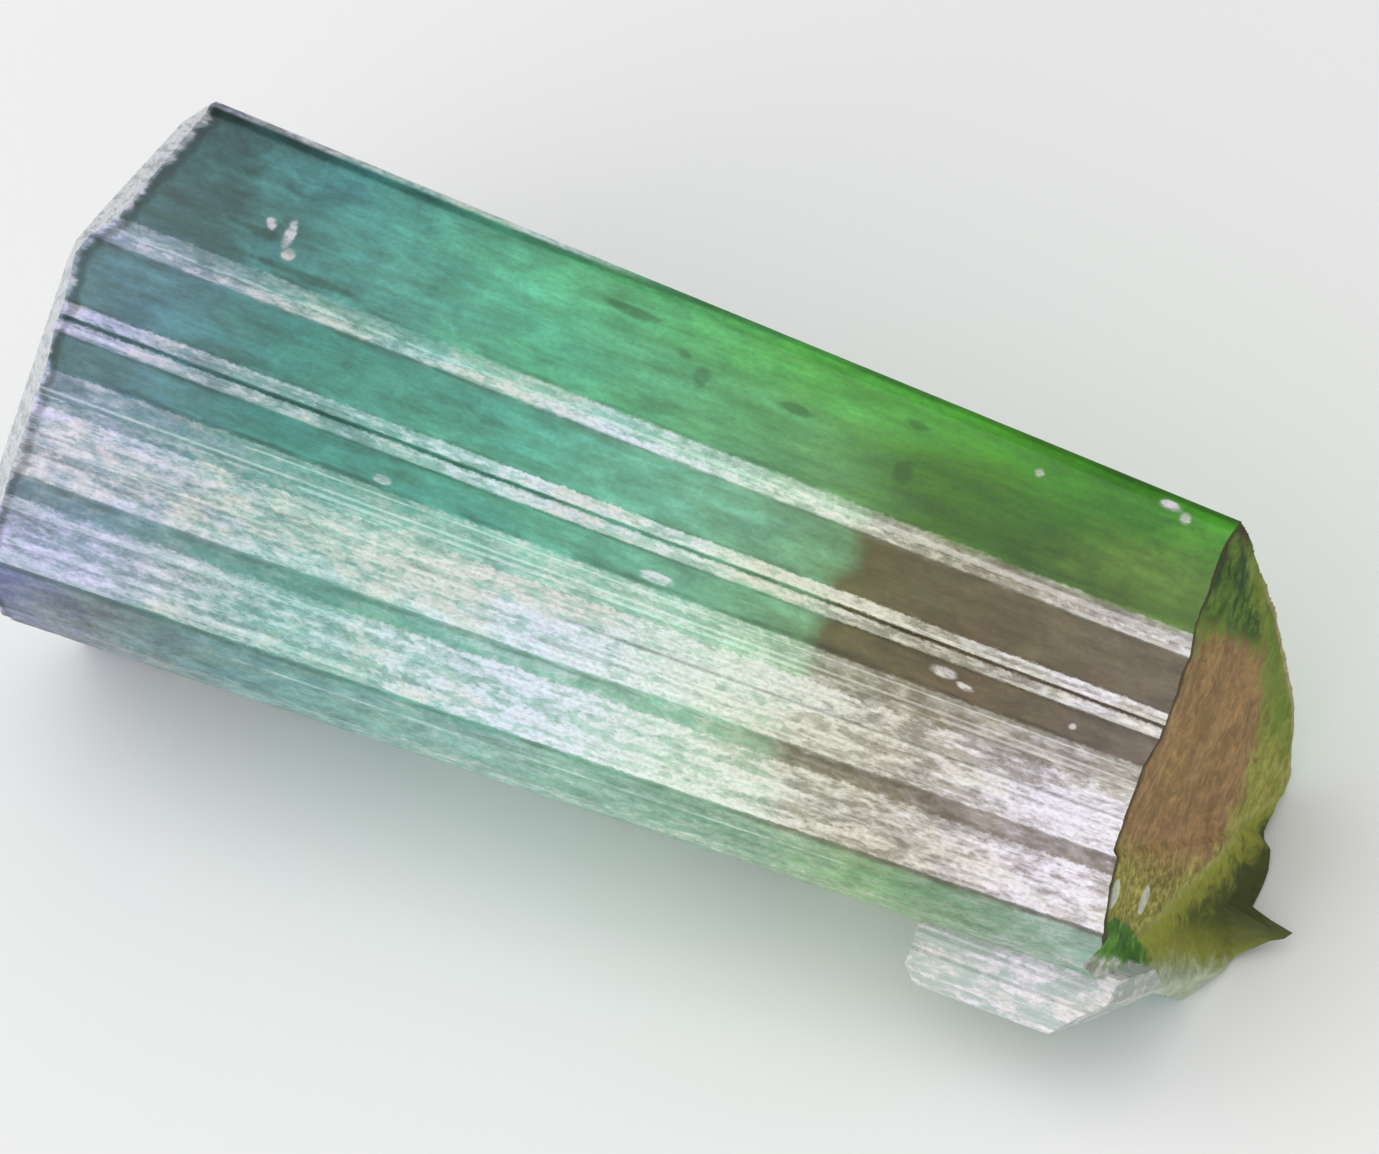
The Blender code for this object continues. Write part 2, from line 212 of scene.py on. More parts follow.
# the parts of the surface, in the order of their faces' material slots while the solid is cut
KINDS = ("wall", "left_end", "broken", "side_wall", "side_end", "chipped")
SHARP_ANGLE = math.radians(14.0)

# The camera looks from the front right and above.
CAMERA_AZIMUTH = math.radians(25.1)
CAMERA_ELEVATION = math.radians(52.0)
CAMERA_DISTANCE = 0.4
CAMERA_AIM = (16.6, -0.08, -5.0)
SENSOR = 36.0
PIXELS_ACROSS = 1379
PIXEL_SIZE = 0.0258             # on the crystal, in millimetres
VIEW_WIDTH = PIXELS_ACROSS * PIXEL_SIZE * MILLIMETRE

# The stage, in metres.
TABLE_HALF = 3.0
TABLE_DROP = 0.00004            # the table lies this far below the foot facet
TABLE_WHITE = (0.85, 0.85, 0.85, 1.0)
TABLE_ROUGHNESS = 0.7
ROOM_WHITE = (1.0, 1.0, 1.0, 1.0)
ROOM_STRENGTH = 0.58
WINDOW_FROM = (-0.30, -0.38, 0.88)
WINDOW = {"energy": 1.35, "angle": math.radians(75.0)}
WINDOW_HEIGHT = 0.5
LOW_FRONT_FROM = (-0.26, -0.961, 0.13)
LOW_FRONT = {"shape": "RECTANGLE", "size": 0.80, "size_y": 0.25, "energy": 6.3, "color": (0.97, 0.98, 1.0)}
LOW_FRONT_AWAY = 1.0


# ---- the drawing ---------------------------------------------------------------------------------

def direction(degrees):
    angle = math.radians(degrees)
    return Vector((math.cos(angle), math.sin(angle)))


def to_world(x, v, w):
    """A point of the drawing in the lying crystal's own axes, with the foot facet's plane at Z = 0."""
    y = v * math.cos(LIE) - w * math.sin(LIE)
    z = v * math.sin(LIE) + w * math.cos(LIE) - FLOOR_W * math.cos(LIE)
    return Vector((x, y, z))


def to_drawing(x, y, z):
    """X, V and W of a point of the lying crystal, or of many, given as arrays."""
    z = z + FLOOR_W * math.cos(LIE)
    return x, y * math.cos(LIE) + z * math.sin(LIE), z * math.cos(LIE) - y * math.sin(LIE)


def floor_height(point):
    return -(point - Vector((0.0, FLOOR_W))).dot(direction(FLOOR_FACING))


def down_to_floor(start, facing, side):
    along = direction(facing + 90 * side)
    return floor_height(start) / -(floor_height(start + along) - floor_height(start))


def walk(start, facets, side, source):
    """Corners after the first, along facets from one: (point, stria, its reach, arc, frost before it)."""
    corners = []
    arc = 0.0
    for facing, width, count, depth, frost in facets:
        outward = direction(facing)
        end = start + direction(facing + 90 * side) * width
        for number in range(count):
            middle = (number + 0.5 + source.uniform(-STRIA_LEAN, STRIA_LEAN)) / count
            rise = depth * source.uniform(*STRIA_HEIGHTS)
            reach = (source.uniform(*STRIA_STARTS), source.uniform(*STRIA_ENDS))
            corners.append((start.lerp(end, middle), outward * rise, reach, arc + width * middle, frost))
            if number < count - 1:
                edge = (number + 1) / count
                corners.append((start.lerp(end, edge), outward * 0.0, reach, arc + width * edge, frost))
        arc += width
        corners.append((end, outward * 0.0, (0.0, 1.0), arc, frost))
        start = end
    return corners


def prism_section():
    """The corners of the outline, anticlockwise from the crest and back to it."""
    source = random.Random(STRIA_SEED)
    crest = Vector(CREST)
    front = walk(crest, FRONT, 1, source)
    toe = front[-1][0]
    under = ((UNDER_FACING, down_to_floor(toe, UNDER_FACING, 1)) + UNDER_FINISH,)
    toe_arc = front[-1][3]
    front += [(p, s, r, arc + toe_arc, frost) for p, s, r, arc, frost in walk(toe, under, 1, source)]
    back = walk(crest, BACK, -1, source)
    heel = back[-1][0]
    last = ((LAST_BACK_FACING, down_to_floor(heel, LAST_BACK_FACING, -1), 0, 0.0, FOOT_FROST),)
    heel_arc = back[-1][3]
    back += [(p, s, r, arc + heel_arc, frost) for p, s, r, arc, frost in walk(heel, last, -1, source)]
    # on the way back up, a piece of outline has the frost of its far corner
    up = []
    for here, below in zip(back[::-1], [None] + back[::-1][:-1]):
        frost = FOOT_FROST if below is None else below[4]
        up.append((here[0], here[1], here[2], -here[3], frost))
    up.append((crest, Vector((0.0, 0.0)), (0.0, 1.0), 0.0, back[0][4]))
    return front + up


def side_section():
    """A six-sided section, its corners anticlockwise."""
    source = random.Random(STRIA_SEED + 1)
    start = Vector(SIDE_CENTRE) + direction(SIDE_CORNER) * SIDE_RADIUS
    facets = [(SIDE_CORNER + 30 + 60 * turn, SIDE_RADIUS) + SIDE_FINISH for turn in range(6)]
    return walk(start, facets, 1, source)


# ---- Geometry Nodes ------------------------------------------------------------------------------

class Wiring:
    """Short ways to add sums to a tree of nodes. A value is a number, a vector, or another node's socket."""

    def __init__(self, tree):
        self.tree = tree

    def link(self, value, socket):
        if isinstance(value, bpy.types.NodeSocket):
            self.tree.links.new(value, socket)
        elif value is not None:
            socket.default_value = value

    def math(self, operation, *values, clamp=False):
        node = self.tree.nodes.new("ShaderNodeMath")
        node.operation = operation
        node.use_clamp = clamp
        for socket, value in zip(node.inputs, values):
            self.link(value, socket)
        return node.outputs[0]

    def plus(self, a, b, clamp=False):
        return self.math("ADD", a, b, clamp=clamp)

    def minus(self, a, b):
        return self.math("SUBTRACT", a, b)

    def times(self, a, b, clamp=False):
        return self.math("MULTIPLY", a, b, clamp=clamp)

    def over(self, a, b):
        return self.math("DIVIDE", a, b)

    def scaled(self, value, factor, more, clamp=False):
        """value * factor + more"""
        return self.math("MULTIPLY_ADD", value, factor, more, clamp=clamp)

    def vector(self, operation, a, b=None, scale=None):
        """A vector, or the number that DISTANCE gives."""
        node = self.tree.nodes.new("ShaderNodeVectorMath")
        node.operation = operation
        for socket, value in zip((node.inputs[0], node.inputs[1], node.inputs[3]), (a, b, scale)):
            self.link(value, socket)
        return node.outputs["Value" if operation == "DISTANCE" else "Vector"]


class Tree(Wiring):
    """A Geometry Nodes tree with named inputs."""

    def __init__(self, name, inputs):
        super().__init__(bpy.data.node_groups.new(name, "GeometryNodeTree"))
        face = self.tree.interface
        face.new_socket("Geometry", in_out="INPUT", socket_type="NodeSocketGeometry")
        self.ids = {}
        for label, kind, default in inputs:
            socket = face.new_socket(label, in_out="INPUT", socket_type="NodeSocket" + kind)
            if default is not None:
                socket.default_value = default
            self.ids[label] = socket.identifier
        face.new_socket("Geometry", in_out="OUTPUT", socket_type="NodeSocketGeometry")
        self.given = self.tree.nodes.new("NodeGroupInput").outputs

    def node(self, kind, *values, **settings):
        """A node with settings, and values on its inputs in use, in their order."""
        node = self.tree.nodes.new(kind)
        for name, value in settings.items():
            setattr(node, name, value)
        for socket, value in zip([s for s in node.inputs if s.enabled], values):
            self.link(value, socket)
        return node

    def close(self, geometry, material):
        real = self.node("GeometryNodeRealizeInstances", geometry).outputs[0]
        dressed = self.node("GeometryNodeSetMaterial", real, None, material).outputs[0]
        out = self.tree.nodes.new("NodeGroupOutput")
        self.tree.links.new(dressed, out.inputs[0])


def prism_tree():
    """Rules a prism through the corners of its section; its striae fade in and out and wander in height."""
    t = Tree("striated prism", (
        ("Corners", "Int", 8),
        ("Stations", "Int", 8),
        ("Start", "Float", 0.0),
        ("End", "Float", 10.0),
        ("Left Size", "Float", 1.0),
        ("Fixed Point", "Vector", (0.0, 0.0, 0.0)),
        ("Stria Fade", "Float", 0.1),
        ("Wander", "Float", 0.5),
        ("Wander Length", "Float", 4.0),
        ("Seed", "Float", 0.0),
        ("Floor Rise", "Float", 0.0),
        ("Lie", "Float", 0.0),
        ("Surface", "Material", None),
    ))
    g = t.given
    around = t.plus(g["Corners"], 1.0)
    grid = t.node("GeometryNodeMeshGrid", 1.0, 1.0, g["Stations"], around).outputs[0]
    index = t.node("GeometryNodeInputIndex").outputs[0]
    station = t.math("FLOOR", t.over(t.plus(index, 0.5), around))
    column = t.minus(index, t.times(station, around))
    corner = t.math("FLOOR", t.math("FLOORED_MODULO", t.plus(column, 0.25), g["Corners"]))

    def from_section(name, data_type):
        if name == "position":
            value = t.node("GeometryNodeInputPosition").outputs[0]
        else:
            value = t.node("GeometryNodeInputNamedAttribute", name, data_type=data_type).outputs[0]
        return t.node("GeometryNodeSampleIndex", g["Geometry"], value, corner, data_type=data_type).outputs[0]

    base = from_section("position", "FLOAT_VECTOR")
    stria = from_section("stria", "FLOAT_VECTOR")
    share = t.over(station, t.minus(g["Stations"], 1.0))
    x = t.scaled(share, t.minus(g["End"], g["Start"]), g["Start"])
    # the last fifth of the length takes up the height of the broken face's rim
    late = t.scaled(share, 5.0, -4.0, clamp=True)
    x = t.plus(x, t.times(from_section("rise", "FLOAT"), late))
    along = t.over(x, g["End"])
    size = t.scaled(t.minus(1.0, g["Left Size"]), along, g["Left Size"])
    fade_in = t.over(t.minus(along, from_section("reach_from", "FLOAT")), g["Stria Fade"])
    fade_out = t.over(t.minus(from_section("reach_to", "FLOAT"), along), g["Stria Fade"])
    strength = t.times(t.math("MAXIMUM", 0.0, t.math("MINIMUM", fade_in, 1.0)),
                       t.math("MAXIMUM", 0.0, t.math("MINIMUM", fade_out, 1.0)))
    spot = t.node("ShaderNodeCombineXYZ", t.over(x, g["Wander Length"]), t.times(corner, 0.37), g["Seed"])
    lumps = t.node("ShaderNodeTexNoise", spot.outputs[0]).outputs[0]
    wander = t.scaled(t.scaled(lumps, 2.0, -1.0), g["Wander"], 1.0)
    relief = t.vector("SCALE", stria, scale=t.times(strength, wander))
    offset = t.vector("SUBTRACT", t.vector("ADD", base, relief), g["Fixed Point"])
    drawn = t.vector("ADD", t.vector("SCALE", offset, scale=size), g["Fixed Point"])
    turned = t.node("ShaderNodeVectorRotate", drawn, (0.0, 0.0, 0.0), (1.0, 0.0, 0.0), g["Lie"]).outputs[0]
    place = t.vector("ADD", turned, t.node("ShaderNodeCombineXYZ", x, 0.0, g["Floor Rise"]).outputs[0])
    placed = t.node("GeometryNodeSetPosition", grid, None, place).outputs[0]
    welded = t.node("GeometryNodeMergeByDistance", placed, None, WELD).outputs[0]
    t.close(welded, g["Surface"])
    return t


def grown_by(t, name, points, attributes, inputs):
    """The plain mesh that a tree makes from points with attributes, as an object."""
    seed = bpy.data.meshes.new(name)
    seed.from_pydata(points, [], [])
    for label, kind, values in attributes:
        layer = seed.attributes.new(label, kind, "POINT")
        layer.data.foreach_set("vector" if kind == "FLOAT_VECTOR" else "value", np.ravel(values))
    host = bpy.data.objects.new(name + "_seed", seed)
    bpy.context.collection.objects.link(host)
    modifier = host.modifiers.new(t.tree.name, "NODES")
    modifier.node_group = t.tree
    for label, value in inputs.items():
        modifier[t.ids[label]] = value
    made = bpy.data.meshes.new_from_object(host.evaluated_get(bpy.context.evaluated_depsgraph_get()))
    bpy.data.objects.remove(host, do_unlink=True)
    piece = bpy.data.objects.new(name, made)
    bpy.context.collection.objects.link(piece)
    return piece


def prism(t, name, section, rises, surface, start, end, left_size, fixed, stations):
    """A tube drawn by the prism tree from a section's corners."""
    points = [(0.0, p.x, p.y) for p, *_ in section]
    attributes = (
        ("stria", "FLOAT_VECTOR", [(0.0, s.x, s.y) for _, s, *_ in section]),
        ("reach_from", "FLOAT", [reach[0] for _, _, reach, *_ in section]),
        ("reach_to", "FLOAT", [reach[1] for _, _, reach, *_ in section]),
        ("rise", "FLOAT", rises),
    )
    return grown_by(t, name, points, attributes, {
        "Corners": len(section),
        "Stations": stations,
        "Start": start,
        "End": end,
        "Left Size": left_size,
        "Fixed Point": (0.0, fixed[0], fixed[1]),
        "Stria Fade": STRIA_FADE,
        "Floor Rise": -FLOOR_W * math.cos(LIE),
        "Lie": LIE,
        "Surface": surface,
        **STRIA_WANDER,
    })


# ---- the broken face -----------------------------------------------------------------------------

def beyond(point, line):
    """Distance of a point to the right of a line, seen along it."""
    start, end = Vector(line[0]), Vector(line[1])
    along = (end - start).normalized()
    offset = point - start
    return offset.x * along.y - offset.y * along.x


def break_height(point):
    """Rise of the broken surface over X = LENGTH."""
    v, w = point
    rise = -BREAK_LEAN * (w - BREAK_FAR_W)
    for height, waves_v, waves_w, phase in RIPPLES:
        rise += height * math.sin(waves_v * v + waves_w * w + phase)
    rise += FAR_RISE * max(0.0, beyond(point, FAR_FACET)) - CORE_SLOPE * abs(beyond(point, CORE_FOLD))
    past_ledge = beyond(point, LEDGE)
    if past_ledge > 0.0:
        rise = max(rise, chunk_height(point, rise, past_ledge))
    rise = max(rise, splinter_height(v, w))
    corner = (point - Vector(CORNER_CHIP)).length
    rise = min(rise, CORNER_CHIP_SLOPE * corner - CORNER_CHIP_DEPTH)
    notch = (point - Vector(RIM_NOTCH)).length
    rise = min(rise, RIM_NOTCH_SLOPE * notch - RIM_NOTCH_DEPTH)
    if beyond(point, LONG_CHIP_END) > 0.0:
        rise = min(rise, LONG_CHIP_SLOPE * beyond(point, LONG_CHIP) - LONG_CHIP_DEPTH)
    shell, waves = SHELL_RIPPLE
    stray, stray_waves = SHELL_WAVER
    from_blow = (point - Vector(SHELL_CENTRE)).length
    rise += shell * math.sin(waves * from_blow + stray * math.sin(stray_waves * v))
    for height, often in HACKLE:
        rise += height * (noise.noise(Vector((v * often, w * often, 4.0 * often))) - HACKLE_SINK)
    return rise


def chunk_height(point, rise, past_ledge):
    """The slope from the ledge to the chunk, and the chunk, which stands out most along the floor."""
    slope = rise + min(LEDGE_SLOPE * past_ledge, LEDGE_RISE) + CHUNK_SLOPE * past_ledge
    slope += CHUNK_EDGE_SLOPE * max(0.0, beyond(point, CHUNK_CREST))
    side = CHUNK_SIDE_SLOPE * beyond(point, CHUNK_SIDE_FOOT) - CHUNK_SIDE_SINK
    low_sides = [most + fall * (point.x - from_v) for from_v, most, fall in CHUNK_LOW_SIDE]
    return min(slope, side, *low_sides)


def splinter_height(v, w):
    to_low, to_high, along = SPLINTER_SLOPES
    tip_v, tip_w = SPLINTER_TIP
    flank = to_low * (tip_v - v) if v < tip_v else to_high * (v - tip_v)
    return SPLINTER_HEIGHT - flank - along * abs(w - tip_w)


def to_segment(points, start, end):
    """For points: how far along a segment the nearest place on it is, 0 to 1, and the distance to it."""
    along = end - start
    share = np.clip(((points - start) @ along) / max(along @ along, 1e-12), 0.0, 1.0)
    return share, np.linalg.norm(points - start - share[:, None] * along, axis=1)


def inside(points, outline):
    """Which points lie inside the outline, clear of its edge."""
    crossings = np.zeros(len(points), int)
    nearest = np.full(len(points), FAR)
    for a, b in zip(outline, np.roll(outline, -1, axis=0)):
        spans = (a[1] > points[:, 1]) != (b[1] > points[:, 1])
        rise = b[1] - a[1] if b[1] != a[1] else 1.0
        cross = a[0] + (b[0] - a[0]) * (points[:, 1] - a[1]) / rise
        crossings += spans & (cross > points[:, 0])
        nearest = np.minimum(nearest, to_segment(points, a, b)[1])
    return (crossings % 2 == 1) & (nearest > RIM_MARGIN)


def apart(points, others, distance):
    """Which points are farther than a distance from all the others."""
    gaps = np.linalg.norm(points[:, None, :] - np.asarray(others)[None, :, :], axis=2)
    return gaps.min(axis=1) > distance


def break_points(outline):
    """Points inside the broken face: along its creases, and between them a staggered grid."""
    tip = Vector(SPLINTER_TIP)
    points = [tuple(tip)] + [tuple(tip + direction(60 * turn) * SPLINTER_BASE) for turn in range(6)]
    creases = (CHUNK_CREST, LEDGE, LEDGE_TOP, CHUNK_SIDE_FOOT, CHUNK_SIDE_TOP, LONG_CHIP, LONG_CHIP_END)
    for line in creases + (FAR_FACET, CORE_FOLD):
        start, end = np.array(line[0]), np.array(line[1])
        count = max(1, round(np.linalg.norm(end - start) / CREASE_STEP))
        row = start + (end - start) * np.linspace(0.0, 1.0, count + 1)[:, None]
        row = row[inside(row, outline) & apart(row, points, CREASE_GAP)]
        points += [tuple(p) for p in row]
    low, high = outline.min(axis=0), outline.max(axis=0)
    rows = np.arange(low[1], high[1], BREAK_GRID * math.sqrt(3.0) / 2.0)
    grid = []
    for number, w in enumerate(rows):
        v = np.arange(low[0] + 0.5 * (number % 2) * BREAK_GRID, high[0], BREAK_GRID)
        grid.append(np.column_stack((v, np.full(len(v), w))))
    grid = np.concatenate(grid)
    grid = grid[inside(grid, outline)]
    grid = grid[apart(grid, points, GRID_GAP)]
    return points + [tuple(p) for p in grid]


def rim_loop(mesh, right):
    """The open edge at one end of a tube, in order."""
    middle = sum(v.co.x for v in mesh.verts) / len(mesh.verts)
    rim = {v for e in mesh.edges if e.is_boundary for v in e.verts if (v.co.x > middle) == right}
    start = here = max(rim, key=lambda v: v.co.z)
    loop, before = [], None
    while here is not start or not loop:
        loop.append(here)
        ways = [e.other_vert(here) for e in here.link_edges if e.is_boundary]
        before, here = here, next(v for v in ways if v is not before)
    return loop


def close_break(mesh):
    """Closes the right end of the prism with the broken face."""
    edge = rim_loop(mesh, True)
    outline = [Vector(to_drawing(*v.co)[1:]) for v in edge]
    inner = [Vector(p) for p in break_points(np.array([tuple(p) for p in outline]))]
    count = len(outline)
    border = [(here, (here + 1) % count) for here in range(count)]
    points, _, faces, sources, _, _ = delaunay_2d_cdt(outline + inner, border, [], 1, 1e-7)
    corners = []
    for point, source in zip(points, sources):
        if source and source[0] < count:
            corners.append(edge[source[0]])
        else:
            corners.append(mesh.verts.new(to_world(LENGTH + break_height(point), point.x, point.y)))
    for face in faces:
        mesh.faces.new([corners[index] for index in face]).material_index = KINDS.index("broken")


# ---- solids --------------------------------------------------------------------------------------

def cut(mesh, place, normal, kind):
    """Takes away what lies beyond a plane and closes the solid with a face of that kind."""
    everything = mesh.verts[:] + mesh.edges[:] + mesh.faces[:]
    bmesh.ops.bisect_plane(mesh, geom=everything, dist=WELD, plane_co=place, plane_no=normal,
                           clear_outer=True)
    rim = [edge for edge in mesh.edges if edge.is_boundary]
    if rim:
        for face in bmesh.ops.contextual_create(mesh, geom=rim)["faces"]:
            face.material_index = KINDS.index(kind)


def end_cut(mesh, facing, slope, crossing, axis, outward, kind):
    """Cuts an end by a plane that slopes to one side and crosses an axis at a given X."""
    side = direction(facing)
    tilt = math.radians(slope)
    across = to_world(0.0, side.x, side.y) - to_world(0.0, 0.0, 0.0)
    normal = Vector((outward * math.cos(tilt), 0.0, 0.0)) + across * math.sin(tilt)
    cut(mesh, to_world(crossing, *axis), normal, kind)


def set_kind(piece, kind, surfaces):
    """Gives a piece the list of surfaces, and all its faces one kind."""
    piece.data.materials.clear()
    for surface in surfaces:
        piece.data.materials.append(surface)
    piece.data.polygons.foreach_set("material_index", [KINDS.index(kind)] * len(piece.data.polygons))


def close_solid(mesh, piece):
    """Turns all faces outwards and puts the solid into its piece."""
    bmesh.ops.recalc_face_normals(mesh, faces=mesh.faces[:])
    bmesh.ops.triangulate(mesh, faces=[f for f in mesh.faces if len(f.verts) > 4])
    mesh.to_mesh(piece.data)
    mesh.free()


def main_prism(t, section, surfaces):
    """The prism with its broken right end and its cut left end."""
    rises = [break_height(p) for p, *_ in section]
    piece = prism(t, "tourmaline_prism", section, rises, surfaces[0], -OVERRUN, LENGTH, LEFT_SCALE,
                  (0.0, FLOOR_W), STATIONS)
    set_kind(piece, "wall", surfaces)
    mesh = bmesh.new()
    mesh.from_mesh(piece.data)
    close_break(mesh)
    bmesh.ops.contextual_create(mesh, geom=[edge for edge in mesh.edges if edge.is_boundary])
    for facing, slope, crossing in LEFT_FACES:
        end_cut(mesh, facing, slope, crossing, LEFT_AXIS, -1, "left_end")
    close_solid(mesh, piece)
    return piece


def side_crystal(t, surfaces):
    """The small six-sided crystal that lies along the foot of the prism."""
    section = side_section()
    piece = prism(t, "side_crystal", section, [0.0] * len(section), surfaces[0], SIDE_START, SIDE_END, 1.0,
                  SIDE_CENTRE, SIDE_STATIONS)
    set_kind(piece, "side_wall", surfaces)
    mesh = bmesh.new()
    mesh.from_mesh(piece.data)
    for right in (True, False):
        cap = mesh.faces.new(rim_loop(mesh, right))
        cap.material_index = KINDS.index("side_end")
    for facing, slope, crossing in SIDE_START_FACES:
        end_cut(mesh, facing, slope, crossing, SIDE_CENTRE, -1, "side_end")
    for facing, slope, crossing in SIDE_END_FACES:
        end_cut(mesh, facing, slope, crossing, SIDE_CENTRE, 1, "side_end")
    close_solid(mesh, piece)
    return piece


def chip_tree():
    """A lumpy round cutter at each point, of the radius that the point carries."""
    t = Tree("chip cutters", (
        ("Detail", "Int", 3),
        ("Lumps", "Float", 0.2),
        ("Lump Size", "Float", 0.3),
        ("Seed", "Int", 1),
        ("Surface", "Material", None),
    ))
    g = t.given
    lump = t.node("GeometryNodeMeshIcoSphere", 1.0, g["Detail"]).outputs[0]
    radius = t.node("GeometryNodeInputNamedAttribute", "radius", data_type="FLOAT").outputs[0]
    cloud = t.node("GeometryNodeMeshToPoints", g["Geometry"]).outputs[0]
    turn = t.node("FunctionNodeRandomValue", data_type="FLOAT_VECTOR")
    turn.inputs["Max"].default_value = (6.28, 6.28, 6.28)
    t.link(g["Seed"], turn.inputs["Seed"])
    placed = t.node("GeometryNodeInstanceOnPoints", cloud)
    t.link(lump, placed.inputs["Instance"])
    t.link(turn.outputs[0], placed.inputs["Rotation"])
    t.link(radius, placed.inputs["Scale"])
    real = t.node("GeometryNodeRealizeInstances", placed.outputs[0]).outputs[0]
    position = t.node("GeometryNodeInputPosition").outputs[0]
    spot = t.vector("SCALE", position, scale=t.over(1.0, g["Lump Size"]))
    colour = t.node("ShaderNodeTexNoise", spot).outputs[1]
    push = t.vector("SCALE", t.vector("SUBTRACT", colour, (0.5, 0.5, 0.5)), scale=g["Lumps"])
    moved = t.node("GeometryNodeSetPosition", real, None, None, push).outputs[0]
    t.close(moved, g["Surface"])
    return t


def chip_cutters(surfaces):
    places = [tuple(to_world(*place)) for place, _ in CHIPS]
    radii = ("radius", "FLOAT", [radius for _, radius in CHIPS])
    piece = grown_by(chip_tree(), "chip_cutters", places, (radii,), {"Surface": surfaces[0], **CHIP_SHAPE})
    set_kind(piece, "chipped", surfaces)
    return piece


def combine(piece, other, operation):
    """A Boolean of a solid with another, applied; the other is used up."""
    boolean = piece.modifiers.new(operation, "BOOLEAN")
    boolean.operation = operation
    boolean.solver = "MANIFOLD"
    boolean.object = other
    made = bpy.data.meshes.new_from_object(piece.evaluated_get(bpy.context.evaluated_depsgraph_get()))
    piece.modifiers.remove(boolean)
    piece.data = made
    bpy.data.objects.remove(other, do_unlink=True)


def nearest_on(section, points):
    """For points (X, V, W): arc round the section, and distance from it, in drawing size."""
    size = LEFT_SCALE + (1.0 - LEFT_SCALE) * points[:, 0] / LENGTH
    flat = points[:, 1:] - np.array((0.0, FLOOR_W))
    flat = flat / size[:, None] + np.array((0.0, FLOOR_W))
    corners = np.array([tuple(p) for p, *_ in section])
    arcs = np.array([arc for *_, arc, _ in section])
    best = np.full(len(points), FAR)
    arc = np.zeros(len(points))
    for index in range(len(section)):
        share, distance = to_segment(flat, corners[index - 1], corners[index])
        closer = distance < best
        best[closer] = distance[closer]
        step = arcs[index] - arcs[index - 1]
        if abs(step) > ARC_JUMP:
            step = 0.0
        arc[closer] = (arcs[index - 1] + step * share)[closer]
    return arc, best


def frost_at(section, arc):
    """Frost of the facet at an arc that is not on a corner."""
    order = np.argsort([arc for *_, arc, _ in section])
    arcs = np.array([section[index][-2] for index in order])
    frosts = np.array([section[index][-1] for index in order])
    far = np.clip(np.searchsorted(arcs, arc), 1, len(arcs) - 1)
    # a corner's frost is that of the facet before it, seen from the crest
    return np.where(arc > 0.0, frosts[far], frosts[far - 1])


def depth_from_left(points):
    """How far inside the faces of the left end points are, in mm."""
    depth = np.full(len(points), FAR)
    for facing, slope, crossing in LEFT_FACES:
        side, tilt = direction(facing), math.radians(slope)
        outward = np.array((-math.cos(tilt), side.x * math.sin(tilt), side.y * math.sin(tilt)))
        depth = np.minimum(depth, (np.array((crossing,) + LEFT_AXIS) - points) @ outward)
    return depth


def vertex_places(data):
    """Places of a mesh's corners, as an array."""
    places = np.zeros(len(data.vertices) * 3)
    data.vertices.foreach_get("co", places)
    return places.reshape(-1, 3)


def write_surface_facts(piece, section):
    """Attributes that the crystal's material reads."""
    data = piece.data
    points = np.column_stack(to_drawing(*vertex_places(data).T))
    arc, gap = nearest_on(section, points)
    middles = np.array([points[list(face.vertices)].mean(axis=0) for face in data.polygons])
    kinds = np.zeros(len(data.polygons), int)
    data.polygons.foreach_get("material_index", kinds)
    grown = [KINDS.index("side_wall"), KINDS.index("side_end")]
    facts = {
        "around": ("POINT", arc),
        "frost": ("FACE", frost_at(section, nearest_on(section, middles)[0])),
        "from_outline": ("POINT", gap),
        "from_left_end": ("POINT", depth_from_left(points)),
        "wall": ("FACE", kinds == KINDS.index("wall")),
        "left_end": ("FACE", kinds == KINDS.index("left_end")),
        "broken": ("FACE", kinds == KINDS.index("broken")),
        "colourless": ("FACE", np.isin(kinds, grown)),
        "chipped": ("FACE", kinds == KINDS.index("chipped")),
    }
    for name, (domain, values) in facts.items():
        layer = data.attributes.new(name, "FLOAT", domain)
        layer.data.foreach_set("value", np.asarray(values, float))


def place_in_frame(piece):
    """Millimetres to metres, with the middle of the base where the CAD solid has it: the shift, in mm."""
    places = vertex_places(piece.data)
    low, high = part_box("tourmaline_crystal")
    middle = np.array(((low.x + high.x) / 2, (low.y + high.y) / 2, low.z)) / MILLIMETRE
    least, most = places.min(axis=0), places.max(axis=0)
    own = np.array(((least[0] + most[0]) / 2, (least[1] + most[1]) / 2, least[2]))
    shift = middle - own
    piece.data.vertices.foreach_set("co", ((places + shift) * MILLIMETRE).ravel())
    piece.data.update()
    return Vector(shift)


# ---- materials ---------------------------------------------------------------------------------------

def srgb(red, green, blue):
    """Linear colour from 0 to 255 numbers."""
    def linear(value):
        value /= 255.0
        return value / 12.92 if value <= 0.04045 else ((value + 0.055) / 1.055) ** 2.4
    return (linear(red), linear(green), linear(blue), 1.0)


